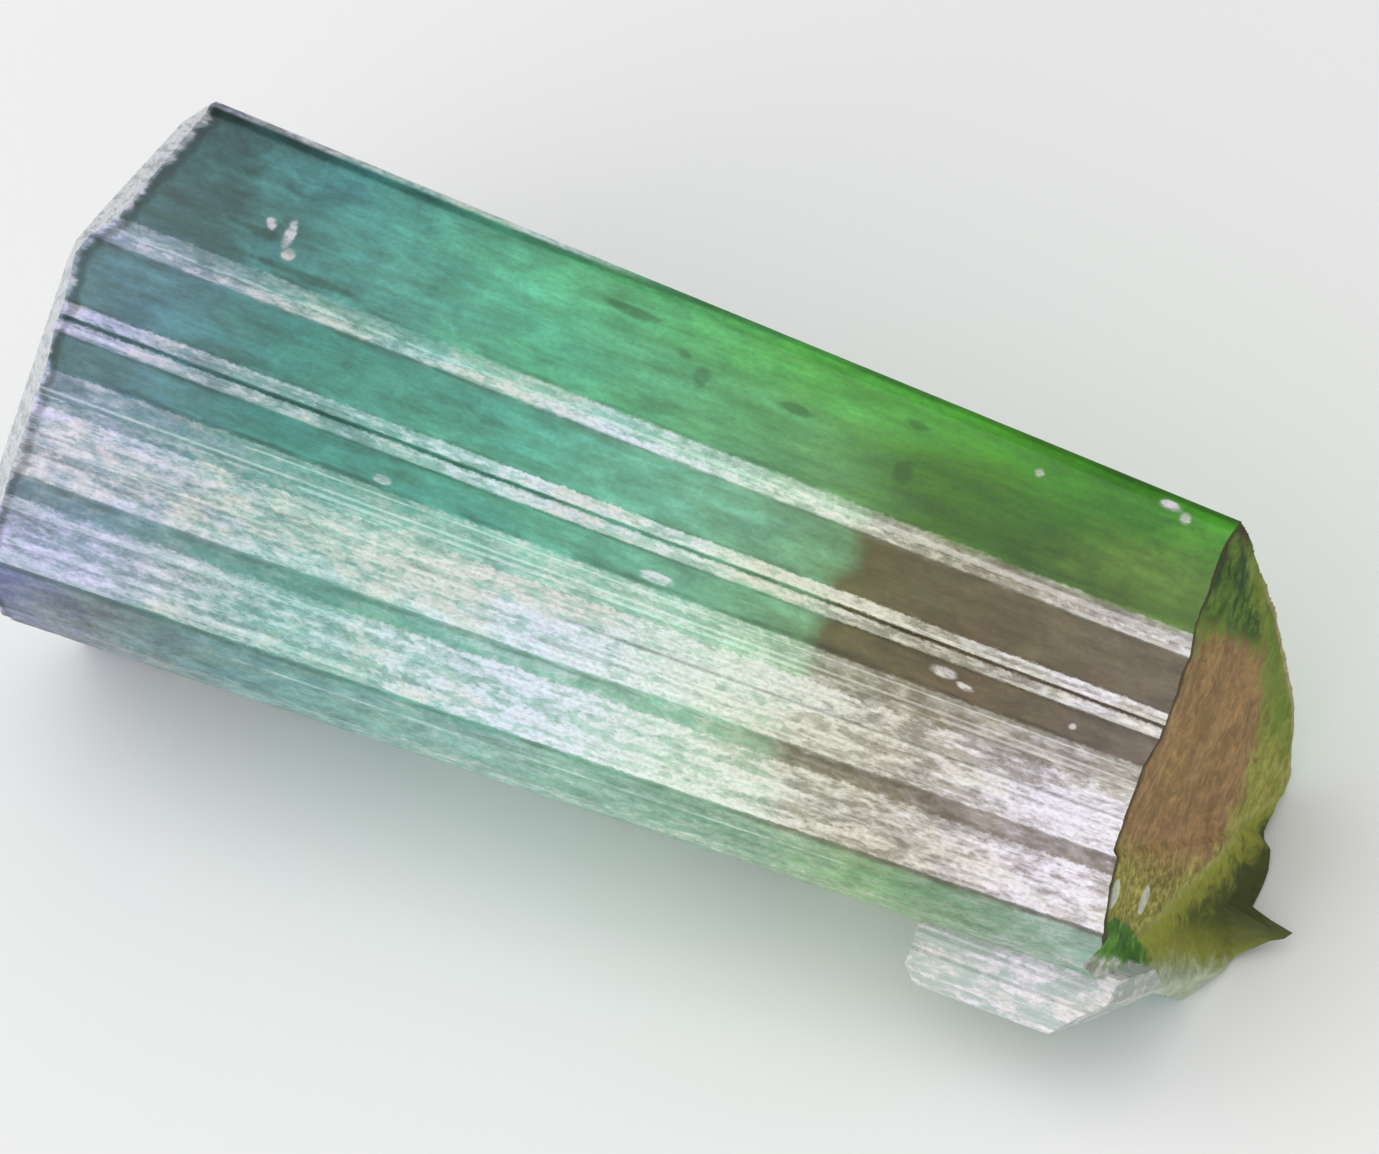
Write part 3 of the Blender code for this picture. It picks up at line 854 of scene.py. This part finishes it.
# Colours along the crystal: share of its length, then red, green and blue.
CREST_COLOURS = (
    (0.00, 72, 106, 108), (0.10, 54, 86, 86), (0.16, 62, 106, 100), (0.22, 80, 150, 146),
    (0.42, 104, 190, 132), (0.62, 96, 184, 78), (0.80, 72, 146, 26), (0.88, 60, 130, 22), (1.00, 70, 144, 28),
)
BAND_COLOURS = (
    (0.00, 98, 130, 132), (0.12, 72, 106, 102), (0.19, 84, 140, 132), (0.26, 94, 162, 146),
    (0.42, 98, 184, 140), (0.64, 106, 160, 100), (0.74, 84, 134, 30), (0.84, 68, 112, 14),
    (0.93, 106, 138, 44), (1.00, 110, 144, 54),
)
LOW_COLOURS = (
    (0.00, 94, 122, 122), (0.10, 98, 138, 146), (0.22, 76, 148, 132), (0.42, 96, 174, 146),
    (0.58, 124, 184, 150), (0.685, 124, 168, 120), (0.705, 104, 98, 54), (0.82, 112, 94, 66),
    (1.00, 122, 106, 92),
)
FOOT_COLOURS = (
    (0.00, 102, 106, 152), (0.12, 104, 120, 116), (0.24, 100, 142, 138), (0.50, 118, 168, 144),
    (0.66, 100, 146, 116), (0.78, 124, 162, 110), (0.86, 104, 142, 100), (1.00, 128, 160, 150),
)
FROST_COLOURS = (
    (0.00, 214, 210, 252), (0.10, 216, 214, 250), (0.18, 220, 222, 232), (0.28, 200, 232, 232),
    (0.38, 224, 240, 246), (0.48, 232, 240, 255), (0.62, 236, 246, 232), (0.78, 240, 232, 222),
    (0.90, 250, 240, 255), (1.00, 250, 242, 248),
)
# How thick the frost lies along the crystal, partly real frost and partly painted highlight in its thicker
# patches: share of its length, share of the facet's frost.
FROST_AND_HIGHLIGHT_PATCHES = (
    (0.00, 0.66), (0.06, 0.74), (0.14, 0.66), (0.24, 0.62), (0.33, 0.72), (0.42, 1.06), (0.60, 1.15),
    (0.70, 1.0), (0.80, 0.62), (0.90, 0.84), (0.95, 0.95), (1.00, 0.82),
)
FROST_STRENGTH = 1.3
FROST_FLOOR = 0.40              # the thinnest frost on a frosted facet
FROST_EDGE = 0.015              # half the width of the change of frost from one facet to the next
# Arcs from the crest, round the bright side: the span of the curves round it, and where colours change.
ARC_SPAN = 14.0
FIRST_STEP = (3.1, 3.4)
FOOT_EDGE = (11.4, 11.7)
# Painted shade in dark lines under the edges of the steps: arc from the crest, half width, share of the light
# that is left.
PAINTED_SHADE_LINES = (
    (3.15, 0.08, 0.66), (3.89, 0.08, 0.62), (5.35, 0.08, 0.58), (5.775, 0.07, 0.48), (6.18, 0.07, 0.60),
    (6.90, 0.12, 0.52), (8.42, 0.09, 0.62), (9.05, 0.07, 0.70), (9.54, 0.13, 0.62), (11.53, 0.10, 0.62),
)
# Marks in the clear bands: X, arc from the crest, half length, half width. Pale flecks, then dark inclusions.
FLECKS = (
    (5.05, 2.05, 0.16, 0.16), (5.62, 2.20, 0.13, 0.34), (5.80, 2.62, 0.18, 0.14), (25.8, 0.84, 0.14, 0.13),
    (17.7, 6.72, 0.40, 0.13), (25.1, 8.55, 0.13, 0.13), (25.4, 6.45, 0.34, 0.13), (26.1, 6.62, 0.26, 0.11),
    (29.2, 0.32, 0.30, 0.14), (29.7, 0.50, 0.16, 0.16), (29.0, 6.60, 0.12, 0.10), (10.2, 6.75, 0.22, 0.10),
)
INCLUSIONS = (
    (16.9, 1.75, 0.24, 0.34), (16.2, 1.35, 0.26, 0.12), (22.6, 2.10, 0.24, 0.36), (14.6, 0.90, 0.70, 0.11),
    (19.4, 1.60, 0.62, 0.11), (6.4, 2.95, 1.60, 0.10), (4.6, 2.35, 0.70, 0.13), (22.4, 0.85, 0.38, 0.12),
)
INCLUSION = srgb(30, 62, 34)
BLUER = (0.95, 1.00, 1.12, 1.0)
COLOURLESS = srgb(174, 190, 180)
CREAMY_FROST = srgb(226, 220, 196)
END_FROST = srgb(236, 238, 242)

# The broken face: its colours, among them a painted highlight for its ridge and glints and a painted shade
# for its near rim, then its patches, as ovals (centre, reach) and lines of the section.
CORE = srgb(204, 160, 112)
CORE_DARK = srgb(176, 136, 92)
OLIVE = srgb(164, 168, 56)
OLIVE_PALE = srgb(206, 194, 108)
DEEP_GREEN = srgb(50, 88, 22)
MOSS = srgb(126, 156, 56)
BROWN_OLIVE = srgb(156, 146, 60)
CHUNK_OLIVE = srgb(184, 186, 74)
CHUNK_DARK = srgb(84, 92, 22)
# painted highlight of the chunk's crest line
PAINTED_RIDGE_HIGHLIGHT = srgb(196, 194, 116)
FRESH_GREEN = srgb(122, 178, 66)
LEAF_GREEN = srgb(70, 124, 30)
PALE = srgb(206, 216, 190)
# painted highlight of the glints
PAINTED_GLINT = srgb(240, 244, 220)
CREAM = srgb(220, 196, 164)
# painted shade inside the near rim of the broken face
PAINTED_RIM_SHADE = srgb(84, 58, 34)
CORE_PATCH = ((0.0, -3.0), (3.6, 5.6))
LEAF_PATCH = ((-5.2, -1.2), (0.75, 2.6))
TORN_PATCH = ((-6.3, -2.6), (0.9, 3.4))
# places of the painted glint highlights
PAINTED_GLINT_SPOTS = (((-3.9, -0.3), (0.40, 0.28)), ((-3.8, -2.8), (0.40, 0.28)))
CREST_GREEN = ((3.2, -5.4), (5.8, -0.8))
LOW_MARGIN = ((-5.8, -0.5), (-4.7, -8.5))
# The steps of the break are too fine to model: their treads face up and to the front.
BREAK_TREADS = (0.0, -0.34, 0.42)

BODY_GAMMA = 1.10
CLEAR_STONE = {"IOR": 1.63, "Metallic": 0.0, "Transmission Weight": 0.35, "Specular IOR Level": 0.12}
TINT = {"Color": (0.62, 0.86, 0.72, 1.0), "Density": 90.0}
ETCHING = {"Strength": 0.4, "Distance": 0.00006}
PLAIN_ROUGHNESS = 0.08


class Nodes(Wiring):
    """A tree of shader nodes."""

    def node(self, kind, settings=(), **inputs):
        node = self.tree.nodes.new(kind)
        for name, value in dict(settings).items():
            setattr(node, name, value)
        for name, value in inputs.items():
            self.link(value, node.inputs[name.replace("_", " ")])
        return node

    def mix(self, share, a, b, blend="MIX"):
        node = self.node("ShaderNodeMix", {"data_type": "RGBA", "blend_type": blend})
        self.link(share, node.inputs[0])
        self.link(a, node.inputs[6])
        self.link(b, node.inputs[7])
        return node.outputs[2]

    def grey(self, value):
        return self.node("ShaderNodeCombineColor", Red=value, Green=value, Blue=value).outputs[0]

    def level(self, grey):
        return self.node("ShaderNodeSeparateColor", Color=grey).outputs[0]

    def shaded(self, colour, light):
        return self.mix(1.0, colour, self.grey(light), "MULTIPLY")

    def between(self, value, low, high, to_low=0.0, to_high=1.0):
        """A smooth step from to_low to to_high while the value goes from low to high."""
        node = self.node("ShaderNodeMapRange", {"interpolation_type": "SMOOTHSTEP"})
        for socket, given in zip(node.inputs, (value, low, high, to_low, to_high)):
            self.link(given, socket)
        return node.outputs[0]

    def ramp(self, value, stops):
        node = self.node("ShaderNodeValToRGB", Fac=value)
        elements = node.color_ramp.elements
        while len(elements) < len(stops):
            elements.new(0.5)
        for element, (place, colour) in zip(elements, stops):
            element.position = place
            element.color = colour
        return node.outputs[0]

    def zones(self, value, table):
        return self.ramp(value, [(place, srgb(*colour)) for place, *colour in table])

    def curve(self, value, stops):
        """A number that follows stops (value, number)."""
        return self.level(self.ramp(value, [(place, (level,) * 3 + (1.0,)) for place, level in stops]))

    def noise(self, vector, scale, detail=2.0, roughness=0.5, distortion=0.0):
        return self.node("ShaderNodeTexNoise", Vector=vector, Scale=scale, Detail=detail, Roughness=roughness,
                         Distortion=distortion).outputs[0]

    def stretched(self, vector, scale, location=(0.0, 0.0, 0.0)):
        return self.node("ShaderNodeMapping", Vector=vector, Scale=scale, Location=location).outputs[0]

    def attribute(self, name):
        return self.node("ShaderNodeAttribute", {"attribute_name": name}).outputs["Fac"]


def shader_group(name, inputs, outputs):
    """An empty shader node group: (group, Nodes in it, its inputs, its output node's sockets)."""
    group = bpy.data.node_groups.new(name, "ShaderNodeTree")
    for label, kind, default in inputs:
        socket = group.interface.new_socket(label, in_out="INPUT", socket_type="NodeSocket" + kind)
        if default is not None:
            socket.default_value = default
    for label in outputs:
        group.interface.new_socket(label, in_out="OUTPUT", socket_type="NodeSocketFloat")
    given = group.nodes.new("NodeGroupInput").outputs
    return group, Nodes(group), given, group.nodes.new("NodeGroupOutput").inputs


def use_group(n, group, **values):
    node = n.tree.nodes.new("ShaderNodeGroup")
    node.node_tree = group
    for name, value in values.items():
        n.link(value, node.inputs[name])
    return node.outputs[:]


def growth_marks():
    """Growth marks drawn out along the crystal: fine streaks, blotches and broad clouds, each about 0.5."""
    group, n, given, out = shader_group("growth marks", (
        ("Place", "Vector", None),
        ("Fineness", "Float", 1.0),
    ), ("Streaks", "Blotches", "Clouds"))
    place, fine = given["Place"], given["Fineness"]
    long_place = n.stretched(place, (0.14, 1.0, 1.0))
    n.link(n.noise(long_place, n.times(fine, 3.2), 3.0, 0.62), out["Streaks"])
    blot_place = n.stretched(place, (0.55, 1.0, 1.0), (3.0, 8.0, 2.0))
    n.link(n.noise(blot_place, n.times(fine, 1.5), 3.0, 0.6, 0.5), out["Blotches"])
    soft_place = n.stretched(place, (0.35, 1.0, 1.0), (7.0, 3.0, 1.0))
    n.link(n.noise(soft_place, n.times(fine, 0.42), 1.5, 0.55), out["Clouds"])
    return group


def etched_frost():
    """How frosted a place is: grains drawn out a little along the crystal, on lines of more and of less."""
    group, n, given, out = shader_group("etched frost", (
        ("Place", "Vector", None),
        ("Around", "Float", 0.0),
        ("Amount", "Float", 1.0),
    ), ("Mask", "Height"))
    grains = n.noise(n.stretched(given["Place"], (0.40, 1.0, 1.0)), 5.2, 2.0, 0.62)
    x = n.node("ShaderNodeSeparateXYZ", Vector=given["Place"]).outputs[0]
    unrolled = n.node("ShaderNodeCombineXYZ", X=n.times(x, 0.05), Y=given["Around"]).outputs[0]
    lines = n.noise(unrolled, 3.1, 2.0, 0.6)
    share = n.scaled(grains, 2.8, n.scaled(lines, 2.0, -1.72))
    share = n.math("MAXIMUM", share, FROST_FLOOR)
    n.link(n.times(given["Amount"], share, clamp=True), out["Mask"])
    n.link(n.scaled(lines, 0.5, n.times(grains, 0.5)), out["Height"])
    return group


class CrystalNodes(Nodes):
    """The crystal's shader tree, with where a place lies in the drawing and the marks of growth there."""

    def __init__(self, tree, shift):
        super().__init__(tree)
        self.place = self.drawing_place(shift)
        self.x, self.v, self.w = self.node("ShaderNodeSeparateXYZ", Vector=self.place).outputs
        self.along = self.over(self.x, LENGTH)
        self.around = self.attribute("around")
        self.from_left = self.attribute("from_left_end")
        self.wall = self.attribute("wall")
        self.left_end = self.attribute("left_end")
        self.broken = self.attribute("broken")
        self.colourless = self.attribute("colourless")
        marks = use_group(self, growth_marks(), Place=self.place, Fineness=self.scaled(self.broken, 0.5, 1.0))
        self.streaks, self.blotches, self.clouds = marks
        self.grain = self.noise(self.stretched(self.place, (0.6, 1.0, 1.0)), 11.0, 1.0, 0.7)
        self.rim_wander = self.scaled(self.blotches, 0.5, self.scaled(self.streaks, 0.15, -0.22))

    def drawing_place(self, shift):
        """Back to the drawing: X along the crystal, V up from the section's middle, W to the bright side."""
        origin = Vector(to_drawing(-shift.x, -shift.y, -shift.z))
        return self.node("ShaderNodeMapping", Vector=self.node("ShaderNodeTexCoord").outputs["Object"],
                         Location=origin, Rotation=(-LIE, 0.0, 0.0), Scale=(1.0 / MILLIMETRE,) * 3).outputs[0]


def clear_tourmaline(shift):
    """The crystal: clear, zoned in colour along and across, streaked, and frosted on its steps, with painted
    shade along its edges and painted highlights in its frost and on its broken face.
    """
    material = bpy.data.materials.new("clear_tourmaline")
    material.use_nodes = True
    n = CrystalNodes(material.node_tree, shift)
    shader = material.node_tree.nodes["Principled BSDF"]
    mask, height = use_group(n, etched_frost(), Place=n.place, Around=n.around, Amount=frost_amount(n))
    white = n.shaded(frost_colours(n), n.between(n.grain, 0.34, 0.60, 0.80, 1.0))
    body = n.mix(n.times(mask, 0.97), body_colours(n), white)
    # painted shade in lines along the steps, beside the crest and inside the left end's rim
    n.link(n.shaded(body, painted_edge_shade(n)), shader.inputs["Base Color"])

    rough = n.scaled(n.streaks, 0.12, PLAIN_ROUGHNESS)
    for part, more in ((mask, 0.30), (n.left_end, 0.15), (n.broken, 0.22)):
        rough = n.scaled(part, more, rough)
    n.link(rough, shader.inputs["Roughness"])

    relief = n.times(height, n.plus(n.attribute("frost"), 0.25))
    normal = n.node("ShaderNodeNewGeometry").outputs["Normal"]
    treads = n.vector("ADD", normal, n.vector("SCALE", BREAK_TREADS, scale=n.broken))
    bump = n.node("ShaderNodeBump", Height=relief, Normal=n.vector("NORMALIZE", treads), **ETCHING)
    n.link(bump.outputs[0], shader.inputs["Normal"])

    for name, value in CLEAR_STONE.items():
        shader.inputs[name].default_value = value
    volume = n.node("ShaderNodeVolumeAbsorption", **TINT)
    n.link(volume.outputs[0], material.node_tree.nodes["Material Output"].inputs["Volume"])
    return material


def body_colours(n):
    """Colours under the frost."""
    dark = n.times(marked(n, INCLUSIONS), 0.42)
    body = n.mix(dark, clear_colours(n), INCLUSION)
    body = n.mix(n.broken, body, break_colours(n))
    body = n.mix(n.colourless, body, COLOURLESS)
    return n.node("ShaderNodeGamma", Color=body, Gamma=BODY_GAMMA).outputs[0]


def clear_colours(n):
    """Colours of the clear facets: zones along the crystal that differ round it, with long wisps."""
    warp = n.scaled(n.blotches, 0.10, n.scaled(n.clouds, 0.14, -0.12))
    along = n.plus(n.along, warp)
    low_along = n.scaled(warp, 0.35, n.along)
    across = n.plus(n.around, n.scaled(n.clouds, 2.4, n.scaled(n.blotches, 1.4, -1.9)))
    body = n.mix(n.between(across, 0.3, 2.6), n.zones(along, CREST_COLOURS), n.zones(along, BAND_COLOURS))
    body = n.mix(n.between(n.around, *FIRST_STEP), body, n.zones(low_along, LOW_COLOURS))
    body = n.mix(n.between(n.around, *FOOT_EDGE), body, n.zones(along, FOOT_COLOURS))
    wisps = n.between(n.scaled(n.streaks, 0.5, n.times(n.clouds, 0.5)), 0.44, 0.60)
    body = n.mix(wisps, body, n.mix(1.0, body, BLUER, "MULTIPLY"))
    light = n.times(n.scaled(n.streaks, 1.1, 0.47), n.scaled(n.blotches, 1.1, 0.47))
    light = n.times(light, n.scaled(n.grain, 0.4, 0.81))
    # towards the break the first band is lighter by the crest and darker by the step
    by_break = n.times(n.between(n.along, 0.66, 0.76), n.between(n.around, 3.0, 3.2, 1.0, 0.0))
    more = n.times(by_break, n.scaled(n.around, -0.20, 0.27))
    return n.shaded(body, n.scaled(more, light, light))


def break_colours(n):
    """Colours of the broken face: a pink-brown core in olive, green by the crest, a dark chunk below, with
    painted highlights on the chunk's ridge and in glints and painted shade inside the near rim.
    """
    patchy = n.between(n.scaled(n.blotches, 0.5, n.times(n.clouds, 0.5)), 0.36, 0.64)
    wobble = n.scaled(n.blotches, 1.2, -0.6)
    olive = n.mix(patchy, OLIVE, OLIVE_PALE)
    olive = n.mix(n.between(n.v, -0.5, 2.5, 0.0, 0.7), olive, MOSS)
    colour = n.mix(in_patch(n, CORE_PATCH), olive, n.mix(patchy, CORE_DARK, CORE))
    brown = n.mix(n.between(n.streaks, 0.42, 0.60), BROWN_OLIVE, OLIVE_PALE)
    colour = n.mix(n.between(n.scaled(n.blotches, 1.6, n.v), -2.4, -1.2, 0.75, 0.0), colour, brown)
    by_crest = n.times(n.between(line_side(n, CREST_GREEN, wobble), 0.3, -0.3),
                       n.between(n.plus(n.v, wobble), 3.0, 3.6))
    colour = n.mix(by_crest, colour, n.mix(patchy, DEEP_GREEN, MOSS))

    past = line_side(n, CHUNK_CREST, n.times(wobble, 0.5))
    dark = n.times(n.between(n.scaled(wobble, 1.4, past), 0.1, 1.1),
                   n.between(n.plus(n.v, wobble), -4.8, -3.3, 0.25, 1.0))
    colour = n.mix(n.between(past, -0.1, 0.15), colour, n.mix(dark, CHUNK_OLIVE, CHUNK_DARK))
    # painted highlight in a light line along the chunk's crest
    colour = n.mix(n.between(n.math("ABSOLUTE", past), 0.02, 0.22, 0.6, 0.0), colour, PAINTED_RIDGE_HIGHLIGHT)
    below = line_side(n, LOW_MARGIN, n.times(wobble, 0.8))
    colour = n.mix(n.between(below, -0.45, 0.35), colour, PALE)
    colour = n.mix(in_patch(n, LEAF_PATCH), colour, n.mix(patchy, LEAF_GREEN, FRESH_GREEN))
    # painted highlights: small bright glints on the broken face
    for highlight_spot in PAINTED_GLINT_SPOTS:
        colour = n.mix(in_patch(n, highlight_spot), colour, PAINTED_GLINT)

    rim = n.attribute("from_outline")
    # painted shade: a dark line inside the broken face's rim on its near side
    near_side = n.between(n.w, -2.5, -1.0)
    colour = n.mix(n.times(near_side, n.between(rim, 0.10, 0.42, 0.85, 0.0)), colour, PAINTED_RIM_SHADE)
    far_side = n.times(n.between(n.w, -3.0, -5.0), n.between(n.v, -0.8, 0.2))
    colour = n.mix(n.times(far_side, n.between(rim, 0.06, 0.20, 0.8, 0.0)), colour, CREAM)
    return n.shaded(colour, n.times(n.scaled(n.streaks, 0.8, 0.62), n.scaled(n.blotches, 0.9, 0.55)))


def painted_edge_shade(n):
    """Painted shade: the light that is left in the dark lines along the steps, beside the crest and inside
    the left end's rim.
    """
    stops = [(0.0, 1.0)]
    for arc, half, left_over in PAINTED_SHADE_LINES:
        stops += [(arc - half, 1.0), (arc, left_over), (arc + half, 1.0)]
    light = n.curve(n.over(n.around, ARC_SPAN), [(arc / ARC_SPAN, level) for arc, level in stops])
    light = n.plus(light, n.between(n.streaks, 0.40, 0.62, 0.0, 0.30), clamp=True)
    off_rim = n.math("ABSOLUTE", n.minus(n.from_left, n.plus(n.rim_wander, 0.10)))
    light = n.times(light, n.between(off_rim, 0.03, 0.17, 0.50, 1.0))
    off_crest = n.math("ABSOLUTE", n.minus(n.around, n.between(n.along, 0.30, 0.55, 0.24, 0.05)))
    light = n.times(light, n.between(off_crest, 0.04, 0.14, 0.55, 1.0))
    return n.math("MAXIMUM", light, n.minus(1.0, n.wall))


def frost_amount(n):
    """Frost on the facets, the crest, the left end and its rim, chips, flecks and the side crystal; its
    patches along the crystal are partly painted highlight.
    """
    # the frost patches along the crystal are partly real frost and partly painted highlight
    patches = n.curve(n.plus(n.along, n.scaled(n.blotches, 0.1, -0.05)), FROST_AND_HIGHLIGHT_PATCHES)
    amount = n.times(facet_frost(n), n.times(patches, FROST_STRENGTH))
    amount = n.times(amount, n.between(n.blotches, 0.36, 0.60, 0.74, 1.12))
    on_wall = (
        n.times(n.between(n.math("ABSOLUTE", n.around), 0.07, 0.17, 1.0, 0.0),
                n.between(n.along, 0.36, 0.50, 1.0, 0.0)),
        n.between(n.minus(n.from_left, n.rim_wander), -0.10, 0.06, 0.9, 0.0),
        n.times(marked(n, FLECKS), 1.25),
    )
    for part in on_wall:
        amount = n.math("MAXIMUM", amount, part)
    amount = n.times(amount, n.wall)
    elsewhere = (
        n.times(n.left_end, 1.5),
        n.times(n.attribute("chipped"), 0.9),
        n.times(n.colourless, n.between(n.blotches, 0.40, 0.60, 0.30, 1.05)),
        n.times(n.times(in_patch(n, TORN_PATCH), n.broken), 0.8),
    )
    for part in elsewhere:
        amount = n.math("MAXIMUM", amount, part)
    return amount


def facet_frost(n):
    """Frost of the facets, with ragged edges on the bright side."""
    ragged = n.plus(n.around, n.scaled(n.grain, 0.12, n.scaled(n.blotches, 0.10, -0.11)))
    profile = []
    arc = 0.0
    for _, width, _, _, frost in FRONT:
        profile += [(arc + FROST_EDGE, frost), (arc + width - FROST_EDGE, frost)]
        arc += width
    # two curves, each of which ends at 1 and is halved for that, because one has too few stops for all facets
    parts = []
    for low in (False, True):
        stops = [(place / ARC_SPAN, frost * 0.5) for place, frost in profile if (place > SPLIT_ARC) == low]
        parts.append(n.grey(n.times(n.curve(n.over(ragged, ARC_SPAN), stops), 2.0)))
    front = n.level(n.mix(n.between(n.around, SPLIT_ARC - 0.01, SPLIT_ARC + 0.01), *parts))
    in_front = n.times(n.between(n.around, -0.02, 0.0), n.between(n.around, arc - 0.05, arc, 1.0, 0.0))
    return n.plus(n.times(in_front, front), n.times(n.minus(1.0, in_front), n.attribute("frost")))


def frost_colours(n):
    """Colour of the frost: it changes along the crystal, and is creamier in patches."""
    creamy = n.between(n.scaled(n.clouds, 0.6, n.times(n.blotches, 0.4)), 0.45, 0.58)
    frost = n.mix(n.times(creamy, 0.5), n.zones(n.along, FROST_COLOURS), CREAMY_FROST)
    return n.mix(n.left_end, frost, END_FROST)


def in_patch(n, patch):
    """1 inside an oval of the section, 0 outside it, with a ragged edge."""
    (v, w), (reach_v, reach_w) = patch
    flat = n.node("ShaderNodeCombineXYZ", Y=n.over(n.v, reach_v), Z=n.over(n.w, reach_w)).outputs[0]
    gap = n.vector("DISTANCE", flat, (0.0, v / reach_v, w / reach_w))
    return n.between(n.scaled(n.blotches, 0.7, gap), 1.18, 1.42, 1.0, 0.0)


def line_side(n, line, wobble):
    """Distance beyond a line of the section, with a wobble."""
    start, end = Vector(line[0]), Vector(line[1])
    along = (end - start).normalized()
    offset = n.plus(wobble, start.y * along.x - start.x * along.y)
    return n.scaled(n.v, along.y, n.scaled(n.w, -along.x, offset))


def marked(n, marks):
    """1 on the marks of a list, 0 off them: each is an oval at an X and an arc, with a ragged edge."""
    flat = n.node("ShaderNodeCombineXYZ", X=n.x, Y=n.around).outputs[0]
    total = None
    for x, arc, half_length, half_width in marks:
        shrunk = n.vector("DIVIDE", flat, (half_length, half_width, 1.0))
        gap = n.vector("DISTANCE", shrunk, (x / half_length, arc / half_width, 0.0))
        total = gap if total is None else n.math("MINIMUM", total, gap)
    return n.between(n.scaled(n.blotches, 2.2, total), 1.6, 2.3, 1.0, 0.0)


# ---- the stage ---------------------------------------------------------------------------------------

def build_table():
    half, z = TABLE_HALF, -TABLE_DROP
    data = bpy.data.meshes.new("table")
    data.from_pydata([(-half, -half, z), (half, -half, z), (half, half, z), (-half, half, z)], [],
                     [(0, 1, 2, 3)])
    table = bpy.data.objects.new("table", data)
    bpy.context.collection.objects.link(table)
    material = bpy.data.materials.new("pale_table")
    material.use_nodes = True
    shader = material.node_tree.nodes["Principled BSDF"]
    shader.inputs["Base Color"].default_value = TABLE_WHITE
    shader.inputs["Roughness"].default_value = TABLE_ROUGHNESS
    data.materials.append(material)


def add_lamp(name, kind, way, place, settings):
    """A lamp at a place, whose light comes from a direction."""
    data = bpy.data.lights.new(name, kind)
    for label, value in settings.items():
        setattr(data, label, value)
    lamp = bpy.data.objects.new(name, data)
    bpy.context.collection.objects.link(lamp)
    lamp.location = place
    lamp.rotation_euler = way.to_track_quat("Z", "Y").to_euler()


def build_lights(aim):
    world = bpy.data.worlds.new("soft_room")
    bpy.context.scene.world = world
    world.use_nodes = True
    room = world.node_tree.nodes["Background"]
    room.inputs["Color"].default_value = ROOM_WHITE
    room.inputs["Strength"].default_value = ROOM_STRENGTH
    add_lamp("window", "SUN", Vector(WINDOW_FROM), aim + Vector((0.0, 0.0, WINDOW_HEIGHT)), WINDOW)
    way = Vector(LOW_FRONT_FROM).normalized()
    add_lamp("low_front", "AREA", way, aim + way * LOW_FRONT_AWAY, LOW_FRONT)


def build_camera(aim):
    data = bpy.data.cameras.new("camera")
    data.sensor_width = SENSOR
    data.lens = SENSOR * CAMERA_DISTANCE / VIEW_WIDTH
    data.clip_start = 0.01
    camera = bpy.data.objects.new("camera", data)
    bpy.context.collection.objects.link(camera)
    back = Vector((math.cos(CAMERA_ELEVATION) * math.sin(CAMERA_AZIMUTH),
                   -math.cos(CAMERA_ELEVATION) * math.cos(CAMERA_AZIMUTH), math.sin(CAMERA_ELEVATION)))
    camera.location = aim + back * CAMERA_DISTANCE
    camera.rotation_euler = back.to_track_quat("Z", "Y").to_euler()
    bpy.context.scene.camera = camera


def build_crystal():
    """The crystal as one piece in the frame, without its material, and how far it was moved, in mm."""
    surfaces = [bpy.data.materials.new(kind) for kind in KINDS]
    section = prism_section()
    t = prism_tree()
    crystal = main_prism(t, section, surfaces)
    combine(crystal, side_crystal(t, surfaces), "UNION")
    combine(crystal, chip_cutters(surfaces), "DIFFERENCE")
    write_surface_facts(crystal, section)
    return crystal, place_in_frame(crystal)


def main():
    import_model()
    crystal, shift = build_crystal()
    crystal.data.materials.clear()
    crystal.data.materials.append(clear_tourmaline(shift))
    crystal.data.polygons.foreach_set("material_index", [0] * len(crystal.data.polygons))
    crystal.data.shade_smooth()
    crystal.data.set_sharp_from_angle(angle=SHARP_ANGLE)
    crystal.name = "clear_crystal"
    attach(crystal, "root")
    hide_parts("tourmaline_crystal")

    aim = (to_world(*CAMERA_AIM) + shift) * MILLIMETRE
    build_table()
    build_camera(aim)
    build_lights(aim)
    view = bpy.context.scene.view_settings
    view.view_transform = "Standard"


main()
